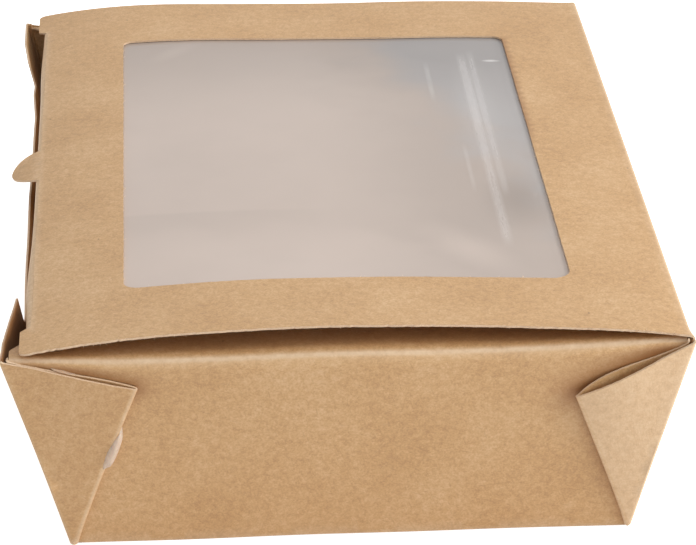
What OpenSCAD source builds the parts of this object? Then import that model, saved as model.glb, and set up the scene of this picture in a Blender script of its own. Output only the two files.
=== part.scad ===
// Takeaway box of kraft paperboard with a window in its lid.
// One sheet of board is folded to a flared tray, four web corners glued flat
// on the front and back walls, two dust flaps, and a lid with a tuck flap.
// Origin: middle of the underside of the base. +X is the hinge side, -Y the front.

/* [Board] */
// Thickness of the paperboard
board = 0.45; // [0.35:0.05:0.8]
// Thickness of the glue line between two layers of board
glue_line = 0.12; // [0.08:0.02:0.3]

/* [Tray] */
// Width over the rim, hinge side to closing side
top_w = 140; // [120:1:180]
// Depth over the rim, front to back
top_d = 200; // [170:1:240]
// Height of the tray from the table to the top of the dust flaps
height = 48; // [40:1:60]
// How far each wall leans out between the base and the rim
flare = 11; // [6:0.5:14]

/* [Closing wall] */
// How far the middle of the closing wall is cut down below the rim
recess_depth = 6; // [3:0.5:9]
// Length of the full-height part of the closing wall at each corner
post_len = 30.5; // [24:0.5:40]
// Radius in the corners of the recess
recess_r = 1.5; // [0.5:0.1:3]

/* [Web corners] */
// Length of the diagonal fold of the web corners beside the closing wall
ear_len_closing = 44.6; // [36:0.1:47]
// Length of the diagonal fold of the web corners beside the hinge wall
ear_len_hinge = 39.5; // [34:0.1:46]
// Radius at the tip of a web corner
ear_tip_r = 0.8; // [0.2:0.1:2]

/* [Dust flaps] */
// Length of a dust flap from its crease to its free edge
dust_len = 30; // [20:1:40]
// Radius of the soft fold between a wall and its dust flap, at mid thickness
dust_fold_r = 2; // [1:0.1:3]
// Length of the straight root of a dust flap before its sides turn in
dust_root = 4.5; // [3:0.5:8]
// How far the dust flap is cut away beside the tuck flap
dust_relief = 7.5; // [5:0.5:12]
// How far the sides of a dust flap draw in towards its free edge
dust_draw = 5; // [2:0.5:10]
// Radius at the free corners of a dust flap
dust_r = 5; // [1:0.5:8]

/* [Lid] */
// Depth of the lid, front to back
lid_d = 198.5; // [160:0.5:230]
// How far the lid sits off the middle of the tray, towards the back
lid_shift = 0.6; // [-1:0.1:1]
// Distance from the rim of the closing wall to the start of the tuck fold
tuck_inset = 5.2; // [4:0.1:7]
// Rise of the lid at its middle, between the hinge and the tuck fold
lid_crown = 4.2; // [2:0.1:7]
// Free space between the dust flaps and the ends of the lid
lid_gap = 0.3; // [0.2:0.05:1]
// Free space between the hinge roll and the top of its wall
hinge_gap = 0.3; // [0.2:0.05:0.6]
// Radius at the corners of the lid
lid_r = 1.6; // [0.4:0.1:4]

/* [Tuck flap and tongue] */
// Length of the tuck flap below its fold
tuck_len = 18; // [12:1:24]
// Radius of the soft tuck fold, at mid thickness
tuck_fold_r = 1.2; // [0.8:0.1:2]
// Lean of the tuck flap into the box, from upright
tuck_lean = 10; // [8:1:18]
// Length of the flat shoulder of the lid at each end of the tuck flap
shoulder_len = 11; // [6:0.5:16]
// How far a shoulder stands out beyond the start of the tuck fold
shoulder_w = 1.9; // [0.8:0.1:2.5]
// Radius at the lower corners of the tuck flap
tuck_r = 8; // [2:0.5:10]
// Radius of the thumb tongue
tongue_r = 9.2; // [7:0.1:14]
// How far the tongue stands out beyond the start of the tuck fold
tongue_len = 5.7; // [4:0.1:6.5]
// Place of the tongue along the lid, measured from the middle of the tray
tongue_y = 0.5; // [-20:0.5:20]

/* [Window] */
// Width of the window, hinge side to closing side
window_w = 93.8; // [60:0.2:104]
// Depth of the window, front to back
window_d = 146.4; // [100:0.2:165]
// How far the window sits off the middle of the lid, towards the hinge
window_off_x = -1.1; // [-4:0.1:4]
// How far the window sits off the middle of the lid, towards the back
window_off_y = -0.8; // [-4:0.1:4]
// Radius in the corners of the window
window_r = 2.2; // [1:0.1:6]
// Thickness of the clear film
film = 0.1; // [0.05:0.01:0.2]
// Width of the glued margin of the film round the window
film_margin = 8; // [4:0.5:12]

/* [Glue spots] */
// Radius of the glue spot that is squeezed out past its fold
big_spot_r = 9.9; // [6:0.1:11]
// How far that spot shows beyond the diagonal fold
spot_squeeze = 1.5; // [0.5:0.1:2]
// Radius of the other three glue spots
small_spot_r = 5; // [3:0.5:6]
// Height of a big spot's centre up the wall, along the slant
big_spot_rise = 27; // [20:0.5:32]
// Height of a small spot's centre up the wall, along the slant
small_spot_rise = 33; // [24:0.5:36]

/* [Hidden] */

kraft = [0.77, 0.62, 0.45];
kraft_lid = [0.79, 0.66, 0.51];
clear_film = [0.80, 0.76, 0.74, 0.5];
dried_glue = [0.84, 0.77, 0.73];

arc_steps = 6;
round_fn = 64;
bow_fn = 720;
far = 400;
overlap = 0.05;
half_board = board / 2;
layer = board + glue_line;
pressed = board / 3;
crease_r = 0.5;
fold_inset = half_board + (layer + board) / 2 + glue_line;
foot_drop = 0.6;
corner_foot = 1.4;
root_r = 0.5;
relief_r = 2;
relief_run = 1.5 * dust_relief;
notch_r = 0.4;

// Mid-surface frame of the tray
lean = atan(flare / height);
mid_rise = height - board;
slant = mid_rise / cos(lean);
base_x = top_w / 2 - flare - half_board;
base_y = top_d / 2 - flare - half_board;
wall_flare = mid_rise * tan(lean);
rim_x = base_x + wall_flare;
rim_y = base_y + wall_flare;

// Web corner: the diagonal fold halves the web between two walls
corner_angle = atan(wall_flare / slant);
fold_angle = 45 - 2 * corner_angle;

// The front and back walls stand two layers behind the outer face of the web
wall_back = 2 * layer;
wall_y = base_y - wall_back / cos(lean);

// Soft fold between wall and dust flap
dust_turn = 90 + lean;
dust_tangent = dust_fold_r * tan(dust_turn / 2);
dust_apex_y = wall_y + wall_flare;

// Lid arc between the hinge and the start of the tuck fold
hinge_x = rim_x;
hinge_z = height + lid_gap + half_board;
tuck_x = -top_w / 2 + tuck_inset;
lid_mid_x = (hinge_x + tuck_x) / 2;
lid_half = (hinge_x - tuck_x) / 2;
bow_r = (lid_half * lid_half + lid_crown * lid_crown) / (2 * lid_crown);
bow_z = hinge_z + lid_crown - bow_r;
end_slope = asin(lid_half / bow_r);
lid_front = lid_shift - lid_d / 2;
lid_back = lid_shift + lid_d / 2;
tuck_front = lid_front + shoulder_len;
tuck_back = lid_back - shoulder_len;

// Middle of the window
window_x = lid_mid_x + window_off_x;
window_y = lid_shift + window_off_y;

// Tuck fold and tuck flap, in the plane across the lid
tuck_fold_x = tuck_x + tuck_fold_r * sin(end_slope);
tuck_fold_z = hinge_z - tuck_fold_r * cos(end_slope);
tongue_centre = tongue_r - tongue_len;

function unit(v) = v / norm(v);

// Points of an arc of radius r that rounds corner b between a and c
function corner_arc(a, b, c, r) =
    r <= 0 ? [b] :
    let (
        u = unit(a - b),
        v = unit(c - b),
        half = acos(u * v) / 2,
        centre = b + unit(u + v) * r / sin(half),
        p = b + u * r / tan(half) - centre,
        q = b + v * r / tan(half) - centre,
        start = atan2(p[1], p[0]),
        sweep = (atan2(q[1], q[0]) - start + 540) % 360 - 180
    )
    [for (i = [0:arc_steps]) centre + r * [cos(start + sweep * i / arc_steps), sin(start + sweep * i / arc_steps)]];

// Outline through points, each corner with its own radius
function outline(points, radii) =
    let (n = len(points))
    [for (i = [0:n - 1]) each corner_arc(points[(i + n - 1) % n], points[i], points[(i + 1) % n], radii[i])];

// Open line of points with its inner corners rounded
function bend(points, radii) =
    let (last = len(points) - 1)
    [
        points[0],
        for (i = [1:last - 1]) each corner_arc(points[i - 1], points[i], points[i + 1], radii[i]),
        points[last]
    ];

function reversed(list) = [for (i = [len(list) - 1:-1:0]) list[i]];

// One side of a strip of board that follows a line of points
function ribbon_side(path, side) =
    let (last = len(path) - 1)
    [
        for (i = [0:last])
            let (
                before = unit(path[max(i, 1)] - path[max(i, 1) - 1]),
                after = unit(path[min(i, last - 1) + 1] - path[min(i, last - 1)]),
                across = [-before[1], before[0]],
                mitre = unit(across + [-after[1], after[0]])
            )
            path[i] + side * half_board * mitre / (mitre * across)
    ];

// Section of a strip of board that follows a line of points
function ribbon(path) = concat(ribbon_side(path, 1), reversed(ribbon_side(path, -1)));

// Flat panel of board about the plane z = 0
module panel(points) {
    translate([0, 0, -half_board])
        linear_extrude(board)
            polygon(points);
}

// Ring sector of board thickness between two angles, in a plane
module bent_strip(r, from, to) {
    reach = 2 * (r + board);
    intersection() {
        difference() {
            circle(r + half_board, $fn = round_fn);
            circle(r - half_board, $fn = round_fn);
        }
        polygon([
            [0, 0],
            for (i = [0:arc_steps])
                let (turn = from + (to - from) * i / arc_steps)
                    reach * [cos(turn), sin(turn)]
        ]);
    }
}

// Children drawn on a leaning wall: x along it, y up the slant, z outwards
module on_wall(turn, distance) {
    rotate([0, 0, turn])
        translate([0, -distance, half_board])
            rotate([90 + lean, 0, 0])
                children();
}

// Children drawn for the front, and once more mirrored for the back
module front_and_back() {
    children();
    mirror([0, 1, 0])
        children();
}

// Half width of a wall at a height up the slant
function half_at(base_half, up) = base_half + up * tan(corner_angle);

// Tip of a web corner's diagonal fold, on the +x side of its wall
function ear_tip(fold_len) = [base_x - fold_len * sin(fold_angle), fold_len * cos(fold_angle)];

// Trimmer for a wall that widens upwards: everything within a half width that grows with height
module flared_trim(half) {
    translate([0, far / 2, 0])
        rotate([90, 0, 0])
            linear_extrude(far)
                polygon([
                    [-half + foot_drop * tan(lean), -foot_drop],
                    [half - foot_drop * tan(lean), -foot_drop],
                    [half + height * tan(lean), height + foot_drop],
                    [-half - height * tan(lean), height + foot_drop]
                ]);
}

// Plan of the dust flap on the front wall, from beyond its crease to its free edge
function dust_plan() = let (
        root = half_at(base_x, slant) - fold_inset,
        start = -dust_apex_y,
        end = start + dust_len
    )
    outline(
        [
            [-far / 2, start - dust_fold_r],
            [far / 2, start - dust_fold_r],
            [far / 2, start + dust_root],
            [root, start + dust_root],
            [root - dust_draw, end],
            [-root + dust_relief + dust_draw, end],
            [-root + dust_relief, start + dust_root + relief_run],
            [-root, start + dust_root],
            [-far / 2, start + dust_root]
        ],
        [0, 0, 0, root_r, dust_r, dust_r, relief_r, root_r, 0]
    );

// Base, front wall, back wall and both dust flaps: one strip bent along four folds
module long_strip() {
    top = height - half_board;
    path = bend(
        [
            [-dust_apex_y + dust_len, top],
            [-dust_apex_y, top],
            [-wall_y, half_board],
            [wall_y, half_board],
            [dust_apex_y, top],
            [dust_apex_y - dust_len, top]
        ],
        [0, dust_fold_r, crease_r, crease_r, dust_fold_r, 0]
    );
    intersection() {
        translate([-far / 2, 0, 0])
            rotate([90, 0, 90])
                linear_extrude(far)
                    polygon(ribbon(path));
        flared_trim(base_x - fold_inset);
        union() {
            translate([-far / 2, -far / 2, -foot_drop])
                cube([far, far, height - dust_fold_r / 2]);
            front_and_back()
                linear_extrude(height + foot_drop)
                    polygon(dust_plan());
        }
    }
}

module base_panel() {
    translate([-base_x, -wall_y, 0])
        cube([2 * base_x, 2 * wall_y, board]);
}

// Side wall on the +x side, with the narrow foot that its crease leaves on the base
module side_wall(top) {
    path = bend(
        [
            [base_x - corner_foot, half_board],
            [base_x, half_board],
            [base_x + (top - half_board) * tan(lean), top]
        ],
        [0, crease_r, 0]
    );
    intersection() {
        translate([0, far / 2, 0])
            rotate([90, 0, 0])
                linear_extrude(far)
                    polygon(ribbon(path));
        rotate([0, 0, 90])
            flared_trim(base_y);
    }
}

// Part of the closing wall that is cut away between its two posts
module wall_recess() {
    post = rim_y - post_len;
    low = height - recess_depth;
    translate([-far / 2, 0, 0])
        rotate([90, 0, 90])
            linear_extrude(far / 2)
                polygon(outline(
                    [[-post, low], [post, low], [post, height + recess_depth], [-post, height + recess_depth]],
                    [recess_r, recess_r, 0, 0]
                ));
}

// Half-round turn where the board doubles back on itself, bulging to the right of a to b
module doubled_fold(a, b, mid) {
    run = b - a;
    r = (layer + board) / 2;
    translate([a[0], a[1], mid])
        rotate([0, 0, atan2(run[1], run[0])])
            rotate([90, 0, 90])
                linear_extrude(norm(run))
                    polygon([
                        [board, -r],
                        [board, r],
                        for (i = [0:arc_steps]) r * [-sin(180 * i / arc_steps), cos(180 * i / arc_steps)]
                    ]);
}

// Web corner on the +x side of the front wall, as two layers joined by a diagonal fold
module ear(fold_len) {
    tip = ear_tip(fold_len);
    foot = [base_x + pressed, 0];
    head = [half_at(base_x, slant) + pressed, slant];
    inset = [fold_inset, 0];
    start = [base_x, 0] + foot_drop * [-sin(fold_angle), cos(fold_angle)];
    finish = tip - ear_tip_r * [-sin(fold_angle), cos(fold_angle)];
    low = foot - inset + foot_drop * [tan(corner_angle), 1];
    high = foot - inset + (slant - dust_tangent) * [tan(corner_angle), 1];
    web_gap = -layer / 2;
    wall_gap = -layer - layer / 2;
    on_wall(0, base_y) {
        panel(outline([foot, head, tip], [0, 0, ear_tip_r]));
        translate([0, 0, -layer])
            panel(outline([foot - inset, head - inset, tip], [0, 0, ear_tip_r]));
        doubled_fold(finish, start, web_gap);
        doubled_fold(low, high, wall_gap);
    }
}

module carton_tray() {
    color(kraft)
    union() {
        base_panel();
        long_strip();
        side_wall(hinge_z - hinge_gap - half_board);
        difference() {
            mirror([1, 0, 0])
                side_wall(height);
            wall_recess();
        }
        front_and_back() {
            ear(ear_len_hinge);
            mirror([1, 0, 0])
                ear(ear_len_closing);
        }
    }
}

// Strip bent to the bow of the lid, at a depth below its mid surface
module bow(depth, thick) {
    translate([lid_mid_x, far / 2, bow_z])
        rotate([90, 0, 0])
            linear_extrude(far)
                difference() {
                    circle(bow_r - depth + thick / 2, $fn = bow_fn);
                    circle(bow_r - depth - thick / 2, $fn = bow_fn);
                }
}

// Everything above the base inside an outline seen from above
module plan_cut(points) {
    translate([0, 0, height / 2])
        linear_extrude(height)
            polygon(points);
}

function window_outline(margin, r) = outline(
    [
        [window_x - window_w / 2 - margin, window_y - window_d / 2 - margin],
        [window_x + window_w / 2 + margin, window_y - window_d / 2 - margin],
        [window_x + window_w / 2 + margin, window_y + window_d / 2 + margin],
        [window_x - window_w / 2 - margin, window_y + window_d / 2 + margin]
    ],
    [r, r, r, r]
);

module lid_panel() {
    left = tuck_x - shoulder_w;
    difference() {
        intersection() {
            bow(0, board);
            plan_cut(outline(
                [
                    [hinge_x, lid_front],
                    [hinge_x, lid_back],
                    [left, lid_back],
                    [left, tuck_back],
                    [tuck_x, tuck_back - shoulder_w],
                    [tuck_x, tuck_front + shoulder_w],
                    [left, tuck_front],
                    [left, lid_front]
                ],
                [0, 0, lid_r, notch_r, notch_r, notch_r, notch_r, lid_r]
            ));
        }
        plan_cut(window_outline(0, window_r));
    }
}

module tongue() {
    intersection() {
        bow(0, board);
        translate([tuck_x + tongue_centre, tongue_y, height / 2])
            cylinder(h = height, r = tongue_r, $fn = round_fn);
        plan_cut([
            [tuck_x + board, tongue_y - tongue_r],
            [tuck_x + board, tongue_y + tongue_r],
            [tuck_x - 2 * tongue_len, tongue_y + tongue_r],
            [tuck_x - 2 * tongue_len, tongue_y - tongue_r]
        ]);
    }
}

// Tuck fold and flap, with the opening that the tongue was cut from
module tuck_flap() {
    flap_start = [
        tuck_fold_x - tuck_fold_r * cos(tuck_lean),
        tuck_fold_z - tuck_fold_r * sin(tuck_lean)
    ];
    difference() {
        union() {
            translate([tuck_fold_x, tuck_back - shoulder_w, tuck_fold_z])
                rotate([90, 0, 0])
                    linear_extrude(tuck_back - tuck_front - 2 * shoulder_w)
                        bent_strip(tuck_fold_r, 90 + end_slope, 180 + tuck_lean);
            translate([flap_start[0], 0, flap_start[1]])
                rotate([0, 90 - tuck_lean, 0])
                    panel(outline(
                        [
                            [-overlap, tuck_front + shoulder_w],
                            [tuck_len, tuck_front + shoulder_w + tuck_r / 2],
                            [tuck_len, tuck_back - shoulder_w - tuck_r / 2],
                            [-overlap, tuck_back - shoulder_w]
                        ],
                        [0, tuck_r, tuck_r, 0]
                    ));
        }
        translate([tuck_x - far / 2, tongue_y, hinge_z + tongue_centre])
            rotate([0, 90, 0])
                cylinder(h = far / 2, r = tongue_r, $fn = round_fn);
    }
}

// Roll of board along the crease that the lid turns on
module hinge_roll() {
    translate([hinge_x, lid_back, hinge_z])
        rotate([90, 0, 0])
            cylinder(h = lid_d, r = half_board, $fn = round_fn);
}

module carton_lid() {
    color(kraft_lid)
    union() {
        lid_panel();
        tongue();
        tuck_flap();
        hinge_roll();
    }
}

module window_film() {
    color(clear_film)
    intersection() {
        bow(half_board + glue_line + film / 2, film);
        plan_cut(window_outline(film_margin, window_r));
    }
}

// Glue spot in the plane of the wall, between the wall and the inner layer of a web corner
module glue_spot(r, rise, past_fold) {
    fold_x = base_x - rise * tan(fold_angle);
    inward = r - past_fold;
    edge = (fold_inset + board) / cos(corner_angle);
    on_wall(0, base_y)
        translate([0, 0, -layer - half_board - glue_line])
            linear_extrude(glue_line)
                intersection() {
                    translate([fold_x + inward * cos(fold_angle), rise + inward * sin(fold_angle)])
                        circle(r, $fn = round_fn);
                    polygon([
                        [0, 0],
                        [base_x - edge, 0],
                        [half_at(base_x, slant) - edge, slant],
                        [0, slant]
                    ]);
                }
}

module glue_spots() {
    hidden = -small_spot_r / 2;
    color(dried_glue)
    union() {
        glue_spot(small_spot_r, small_spot_rise, hidden);
        mirror([1, 0, 0])
            glue_spot(big_spot_r, big_spot_rise, spot_squeeze);
        mirror([0, 1, 0]) {
            glue_spot(small_spot_r, small_spot_rise, hidden);
            mirror([1, 0, 0])
                glue_spot(small_spot_r, small_spot_rise, hidden);
        }
    }
}

carton_tray();
carton_lid();
window_film();
glue_spots();
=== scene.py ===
# %% [markdown]
# This lesson dresses a takeaway box for the camera. The real box is one sheet of kraft paperboard,
# cut, creased, folded and glued, with a clear film behind the hole in its lid.
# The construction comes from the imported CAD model, which Blender loads as a fixed frame.
# Every visible sheet is built again here as a fine mesh, so that it can bulge, spring back and
# show its soft folds and fuzzy cut edges. All sizes below are in millimetres until a mesh is made.

import math

import bpy
import numpy as np
from mathutils import Matrix, Vector
from mathutils.geometry import delaunay_2d_cdt
from mathutils.kdtree import KDTree


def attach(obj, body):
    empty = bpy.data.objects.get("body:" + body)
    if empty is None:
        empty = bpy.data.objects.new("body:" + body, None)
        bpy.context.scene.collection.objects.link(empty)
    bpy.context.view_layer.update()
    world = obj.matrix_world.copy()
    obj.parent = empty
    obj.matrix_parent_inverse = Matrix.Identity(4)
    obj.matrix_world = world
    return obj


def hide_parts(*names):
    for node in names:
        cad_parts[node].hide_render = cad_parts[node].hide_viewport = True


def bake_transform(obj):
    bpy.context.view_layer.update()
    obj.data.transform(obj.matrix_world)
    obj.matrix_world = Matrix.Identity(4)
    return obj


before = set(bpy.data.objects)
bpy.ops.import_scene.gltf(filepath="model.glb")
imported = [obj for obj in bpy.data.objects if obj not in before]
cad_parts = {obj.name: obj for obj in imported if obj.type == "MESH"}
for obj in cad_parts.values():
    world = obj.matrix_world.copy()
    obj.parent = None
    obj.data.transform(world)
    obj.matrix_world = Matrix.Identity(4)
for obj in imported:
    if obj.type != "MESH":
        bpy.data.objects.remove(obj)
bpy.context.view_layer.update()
MM = 0.001

# %% [markdown]
# The sizes are those of the carton maker: board, tray, web corners, flaps, lid and window.
# The same names stand in the part's source, in small letters, so the two can be read side by side.

# %% Sizes of the carton
BOARD = 0.45
GLUE_LINE = 0.12
TOP_W = 140
TOP_D = 200
HEIGHT = 48
FLARE = 11
RECESS_DEPTH = 6
POST_LEN = 30.5
RECESS_R = 1.5
EAR_LEN_CLOSING = 44.6
EAR_LEN_HINGE = 39.5
DUST_LEN = 30
DUST_ROOT = 4.5
DUST_RELIEF = 7.5
DUST_DRAW = 5
DUST_R = 5
LID_D = 198.5
LID_SHIFT = 0.6
TUCK_INSET = 5.2
LID_GAP = 0.3
LID_R = 1.6
TUCK_LEN = 18
TUCK_LEAN = math.radians(10)
SHOULDER_LEN = 11
SHOULDER_W = 1.9
TUCK_R = 8
TONGUE_R = 9.2
TONGUE_LEN = 5.7
TONGUE_Y = 0.5
WINDOW_W = 93.8
WINDOW_D = 146.4
WINDOW_OFF_X = -1.1
WINDOW_Y = -0.2
WINDOW_R = 2.2
FILM = 0.1
FILM_MARGIN = 8
CREASE_R = 0.5

# %% [markdown]
# Everything else follows from those sizes. Walls that lean out meet at a corner angle of their
# own, and the web between two walls is folded along the line that halves that angle. Working
# these out, instead of typing them in, keeps every sheet fitting its neighbours.

# %% Sizes worked out from them
HALF = BOARD / 2
LAYER = BOARD + GLUE_LINE
LEAN = math.atan(FLARE / HEIGHT)
MID_RISE = HEIGHT - BOARD
SLANT = MID_RISE / math.cos(LEAN)
BASE_X = TOP_W / 2 - FLARE - HALF
BASE_Y = TOP_D / 2 - FLARE - HALF
WALL_FLARE = MID_RISE * math.tan(LEAN)
CORNER_ANGLE = math.atan(WALL_FLARE / SLANT)
WEB_HALF_ANGLE = math.radians(45) - CORNER_ANGLE
FOLD_INSET = HALF + (LAYER + BOARD) / 2 + GLUE_LINE
WALL_Y = BASE_Y - 2 * LAYER / math.cos(LEAN)
HINGE_X = BASE_X + WALL_FLARE
HINGE_Z = HEIGHT + LID_GAP + HALF
TUCK_X = -TOP_W / 2 + TUCK_INSET
LID_FRONT = LID_SHIFT - LID_D / 2
LID_BACK = LID_SHIFT + LID_D / 2
LID_MID_X = (HINGE_X + TUCK_X) / 2
WINDOW_X = LID_MID_X + WINDOW_OFF_X
print(f"walls lean {math.degrees(LEAN):.1f} degrees, webs halve at {math.degrees(WEB_HALF_ANGLE):.1f}")

# %% [markdown]
# The camera stands where the photographer stood: a long lens, a little to the left of the middle
# and about 24 degrees above the table. Its place was worked out from the box's own corners.
# Building the camera first means that every later choice can be judged from that one view.

# %% Camera
PICTURE_W = 696
SENSOR_W = 36
FOCAL_PX = 3432.3
YAW = math.radians(-3.295)
PITCH = math.radians(24.434)
ROLL = math.radians(-0.339)
CAMERA_PLACE = Vector((-36.24, -722.59, 349.02)) * MM

ahead = Vector((-math.sin(YAW) * math.cos(PITCH), math.cos(YAW) * math.cos(PITCH), -math.sin(PITCH)))
level_right = Vector((math.cos(YAW), math.sin(YAW), 0))
level_up = level_right.cross(ahead)
right = level_right * math.cos(ROLL) + level_up * math.sin(ROLL)
up = level_up * math.cos(ROLL) - level_right * math.sin(ROLL)

camera_data = bpy.data.cameras.new("camera")
camera_data.sensor_width = SENSOR_W
camera_data.lens = FOCAL_PX * SENSOR_W / PICTURE_W
camera_data.clip_start = 0.01
camera_data.clip_end = 20
camera = bpy.data.objects.new("camera", camera_data)
bpy.context.scene.collection.objects.link(camera)
turned = Matrix((right, up, -ahead)).transposed().to_4x4()
camera.matrix_world = Matrix.Translation(CAMERA_PLACE) @ turned
bpy.context.scene.camera = camera
bpy.context.scene.view_settings.view_transform = "Standard"
print(f"lens {camera_data.lens:.1f} mm, {CAMERA_PLACE.length:.2f} m from the box")

# %% [markdown]
# Every finish below is a tree of shader nodes, small boxes that each do one sum. These helpers
# add a node with its values in one line, so a recipe reads from top to bottom. A value may be a
# number, a colour or the result of another node.

# %% Shader helpers
def wire(tree, node, values):
    """Give a node's inputs numbers, colours or the results of other nodes."""
    for key, value in values.items():
        if isinstance(value, bpy.types.NodeSocket):
            tree.links.new(value, node.inputs[key])
        else:
            node.inputs[key].default_value = value


def add_node(tree, kind, values=None, **settings):
    """A shader node with its settings and the values of its inputs."""
    node = tree.nodes.new(kind)
    for key, value in settings.items():
        setattr(node, key, value)
    wire(tree, node, values or {})
    return node


def maths(tree, operation, one, two=0.0):
    """Result of one sum."""
    return add_node(tree, "ShaderNodeMath", {0: one, 1: two}, operation=operation).outputs[0]


def times(tree, one, two):
    """Two values multiplied."""
    return maths(tree, "MULTIPLY", one, two)


def weighted(tree, base, terms):
    """A base value plus masks, each with its own weight."""
    total = base
    for mask, weight in terms:
        total = maths(tree, "ADD", total, times(tree, mask, weight))
    return total


def levels(tree, value, low, high, to_low, to_high, smooth=False):
    """Value mapped from one range to another, clamped."""
    kind = "SMOOTHSTEP" if smooth else "LINEAR"
    values = {"Value": value, "From Min": low, "From Max": high, "To Min": to_low, "To Max": to_high}
    return add_node(tree, "ShaderNodeMapRange", values, interpolation_type=kind).outputs["Result"]


def mixed(tree, share, one, two):
    """Two colours mixed by a share."""
    node = add_node(tree, "ShaderNodeMix", data_type="RGBA")
    for socket, value in (("Factor_Float", share), ("A_Color", one), ("B_Color", two)):
        target = next(s for s in node.inputs if s.identifier == socket)
        if isinstance(value, bpy.types.NodeSocket):
            tree.links.new(value, target)
        else:
            target.default_value = value
    return next(s for s in node.outputs if s.identifier == "Result_Color")


def placed(tree, place, scale, turn, shift):
    """Coordinates moved, turned and stretched within the sheet."""
    values = {"Vector": place, "Scale": (*scale, 1), "Rotation": (0, 0, turn), "Location": (*shift, 0)}
    return add_node(tree, "ShaderNodeMapping", values, vector_type="TEXTURE").outputs["Vector"]


def noise(tree, place, scale, detail=2.0, rough=0.5, stretch=(1, 1), turn=0.0, shift=0.0):
    """Noise value from 0 to 1, with an optional stretch and turn in the sheet."""
    moved = placed(tree, place, stretch, turn, (shift, shift * 0.7))
    values = {"Vector": moved, "Scale": scale, "Detail": detail, "Roughness": rough}
    return add_node(tree, "ShaderNodeTexNoise", values).outputs[0]


def attribute(tree, name, output):
    """A value that the mesh carries at its points."""
    node = add_node(tree, "ShaderNodeAttribute", attribute_name=name, attribute_type="GEOMETRY")
    return node.outputs[output]


def new_material(name):
    """A new material with its node tree and its Principled shader."""
    material = bpy.data.materials.new(name)
    material.use_nodes = True
    tree = material.node_tree
    return material, tree, tree.nodes["Principled BSDF"]


print("shader helpers ready")

# %% [markdown]
# The stage is a plain white table in soft light. The table is a diffuse surface, so it takes the
# box's shadow, with a little glow seen only by the camera and by shiny or clear things, which
# lifts it to paper white. The world does the same for whatever stands above the table's edge.

# %% Stage
FLOOR_RINGS = [0.3, 1.0, 6.0]
FLOOR_SIDES = 96
FLOOR_DROP = 0.00005
FLOOR_PAINT = (0.86, 0.86, 0.86, 1)
FLOOR_ROUGHNESS = 0.9
FLOOR_GLOW = 0.78
WORLD_LIGHT = 0.64
WHITE = (1, 1, 1, 1)


def seen_directly(tree):
    """One where a ray comes from the camera, a mirror or a clear sheet, else zero."""
    path = add_node(tree, "ShaderNodeLightPath").outputs
    either = maths(tree, "MAXIMUM", path["Is Camera Ray"], path["Is Glossy Ray"])
    return maths(tree, "MAXIMUM", either, path["Is Transmission Ray"])


def white_world():
    """World that lights softly and looks white."""
    world = bpy.data.worlds.new("studio")
    world.use_nodes = True
    tree = world.node_tree
    strength = levels(tree, seen_directly(tree), 0, 1, WORLD_LIGHT, 1)
    wire(tree, tree.nodes["Background"], {"Color": WHITE, "Strength": strength})
    bpy.context.scene.world = world


def white_floor():
    """Round table top under the box."""
    angles = np.linspace(0, 2 * math.pi, FLOOR_SIDES, endpoint=False)
    points = [(r * math.cos(a), r * math.sin(a), -FLOOR_DROP) for r in FLOOR_RINGS for a in angles]
    faces = [tuple(range(FLOOR_SIDES))]
    for ring in range(len(FLOOR_RINGS) - 1):
        inner = FLOOR_SIDES * ring
        outer = inner + FLOOR_SIDES
        for i in range(FLOOR_SIDES):
            j = (i + 1) % FLOOR_SIDES
            faces.append((inner + i, outer + i, outer + j, inner + j))
    mesh = bpy.data.meshes.new("table")
    mesh.from_pydata(points, [], faces)
    table = bpy.data.objects.new("table", mesh)
    bpy.context.scene.collection.objects.link(table)
    paint, tree, shader = new_material("white_table")
    glow = times(tree, seen_directly(tree), FLOOR_GLOW)
    wire(tree, shader, {"Base Color": FLOOR_PAINT, "Roughness": FLOOR_ROUGHNESS,
                        "Emission Color": WHITE, "Emission Strength": glow})
    mesh.materials.append(paint)


white_world()
white_floor()
print("stage set, world light", WORLD_LIGHT)

# %% [markdown]
# A white room lights a product almost evenly, and the world does that part here. One large soft
# box stands low on the right, so the right web corner, which faces it, is lit more than the front
# wall; a painted highlight on that corner makes it the lightest part of the front. A weak one
# above keeps the lid from going grey. Large lamps make soft shadows.

# %% Lamps
LAMP_AIM = Vector((0, 0, 0.03))


def soft_box(name, place, size, power):
    """Square area lamp that looks at the box."""
    lamp = bpy.data.lights.new(name, "AREA")
    lamp.shape = "SQUARE"
    lamp.size = size
    lamp.energy = power
    body = bpy.data.objects.new(name, lamp)
    bpy.context.scene.collection.objects.link(body)
    body.location = place
    body.rotation_mode = "QUATERNION"
    body.rotation_quaternion = (LAMP_AIM - Vector(place)).to_track_quat("-Z", "Y")


soft_box("key_lamp", (1.15, -0.35, 0.54), size=0.7, power=13)
soft_box("top_lamp", (0.15, 0.35, 1.3), size=0.9, power=0.6)

# %% [markdown]
# Paperboard starts flat. Each sheet here is drawn flat as well, as an outline with its holes and
# crease lines, and is filled with small triangles by a Delaunay mesher, which keeps every crease
# line as a row of edges. Bending comes afterwards, so the triangles can stay simple.

# %% Lines on a flat sheet
LINE_GAP = 2.0


def corner_arc(before, corner, after, radius, steps=7):
    """Points of an arc that rounds a corner."""
    corner = np.array(corner, float)
    if radius <= 0:
        return [corner]
    one = np.array(before, float) - corner
    two = np.array(after, float) - corner
    one = one / np.linalg.norm(one)
    two = two / np.linalg.norm(two)
    half = math.acos(float(np.clip(one @ two, -1, 1))) / 2
    middle = corner + (one + two) / np.linalg.norm(one + two) * radius / math.sin(half)
    start = corner + one * radius / math.tan(half) - middle
    end = corner + two * radius / math.tan(half) - middle
    first = math.atan2(start[1], start[0])
    sweep = (math.atan2(end[1], end[0]) - first + 3 * math.pi) % (2 * math.pi) - math.pi
    turns = [first + sweep * i / (steps - 1) for i in range(steps)]
    return [middle + radius * np.array([math.cos(a), math.sin(a)]) for a in turns]


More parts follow.
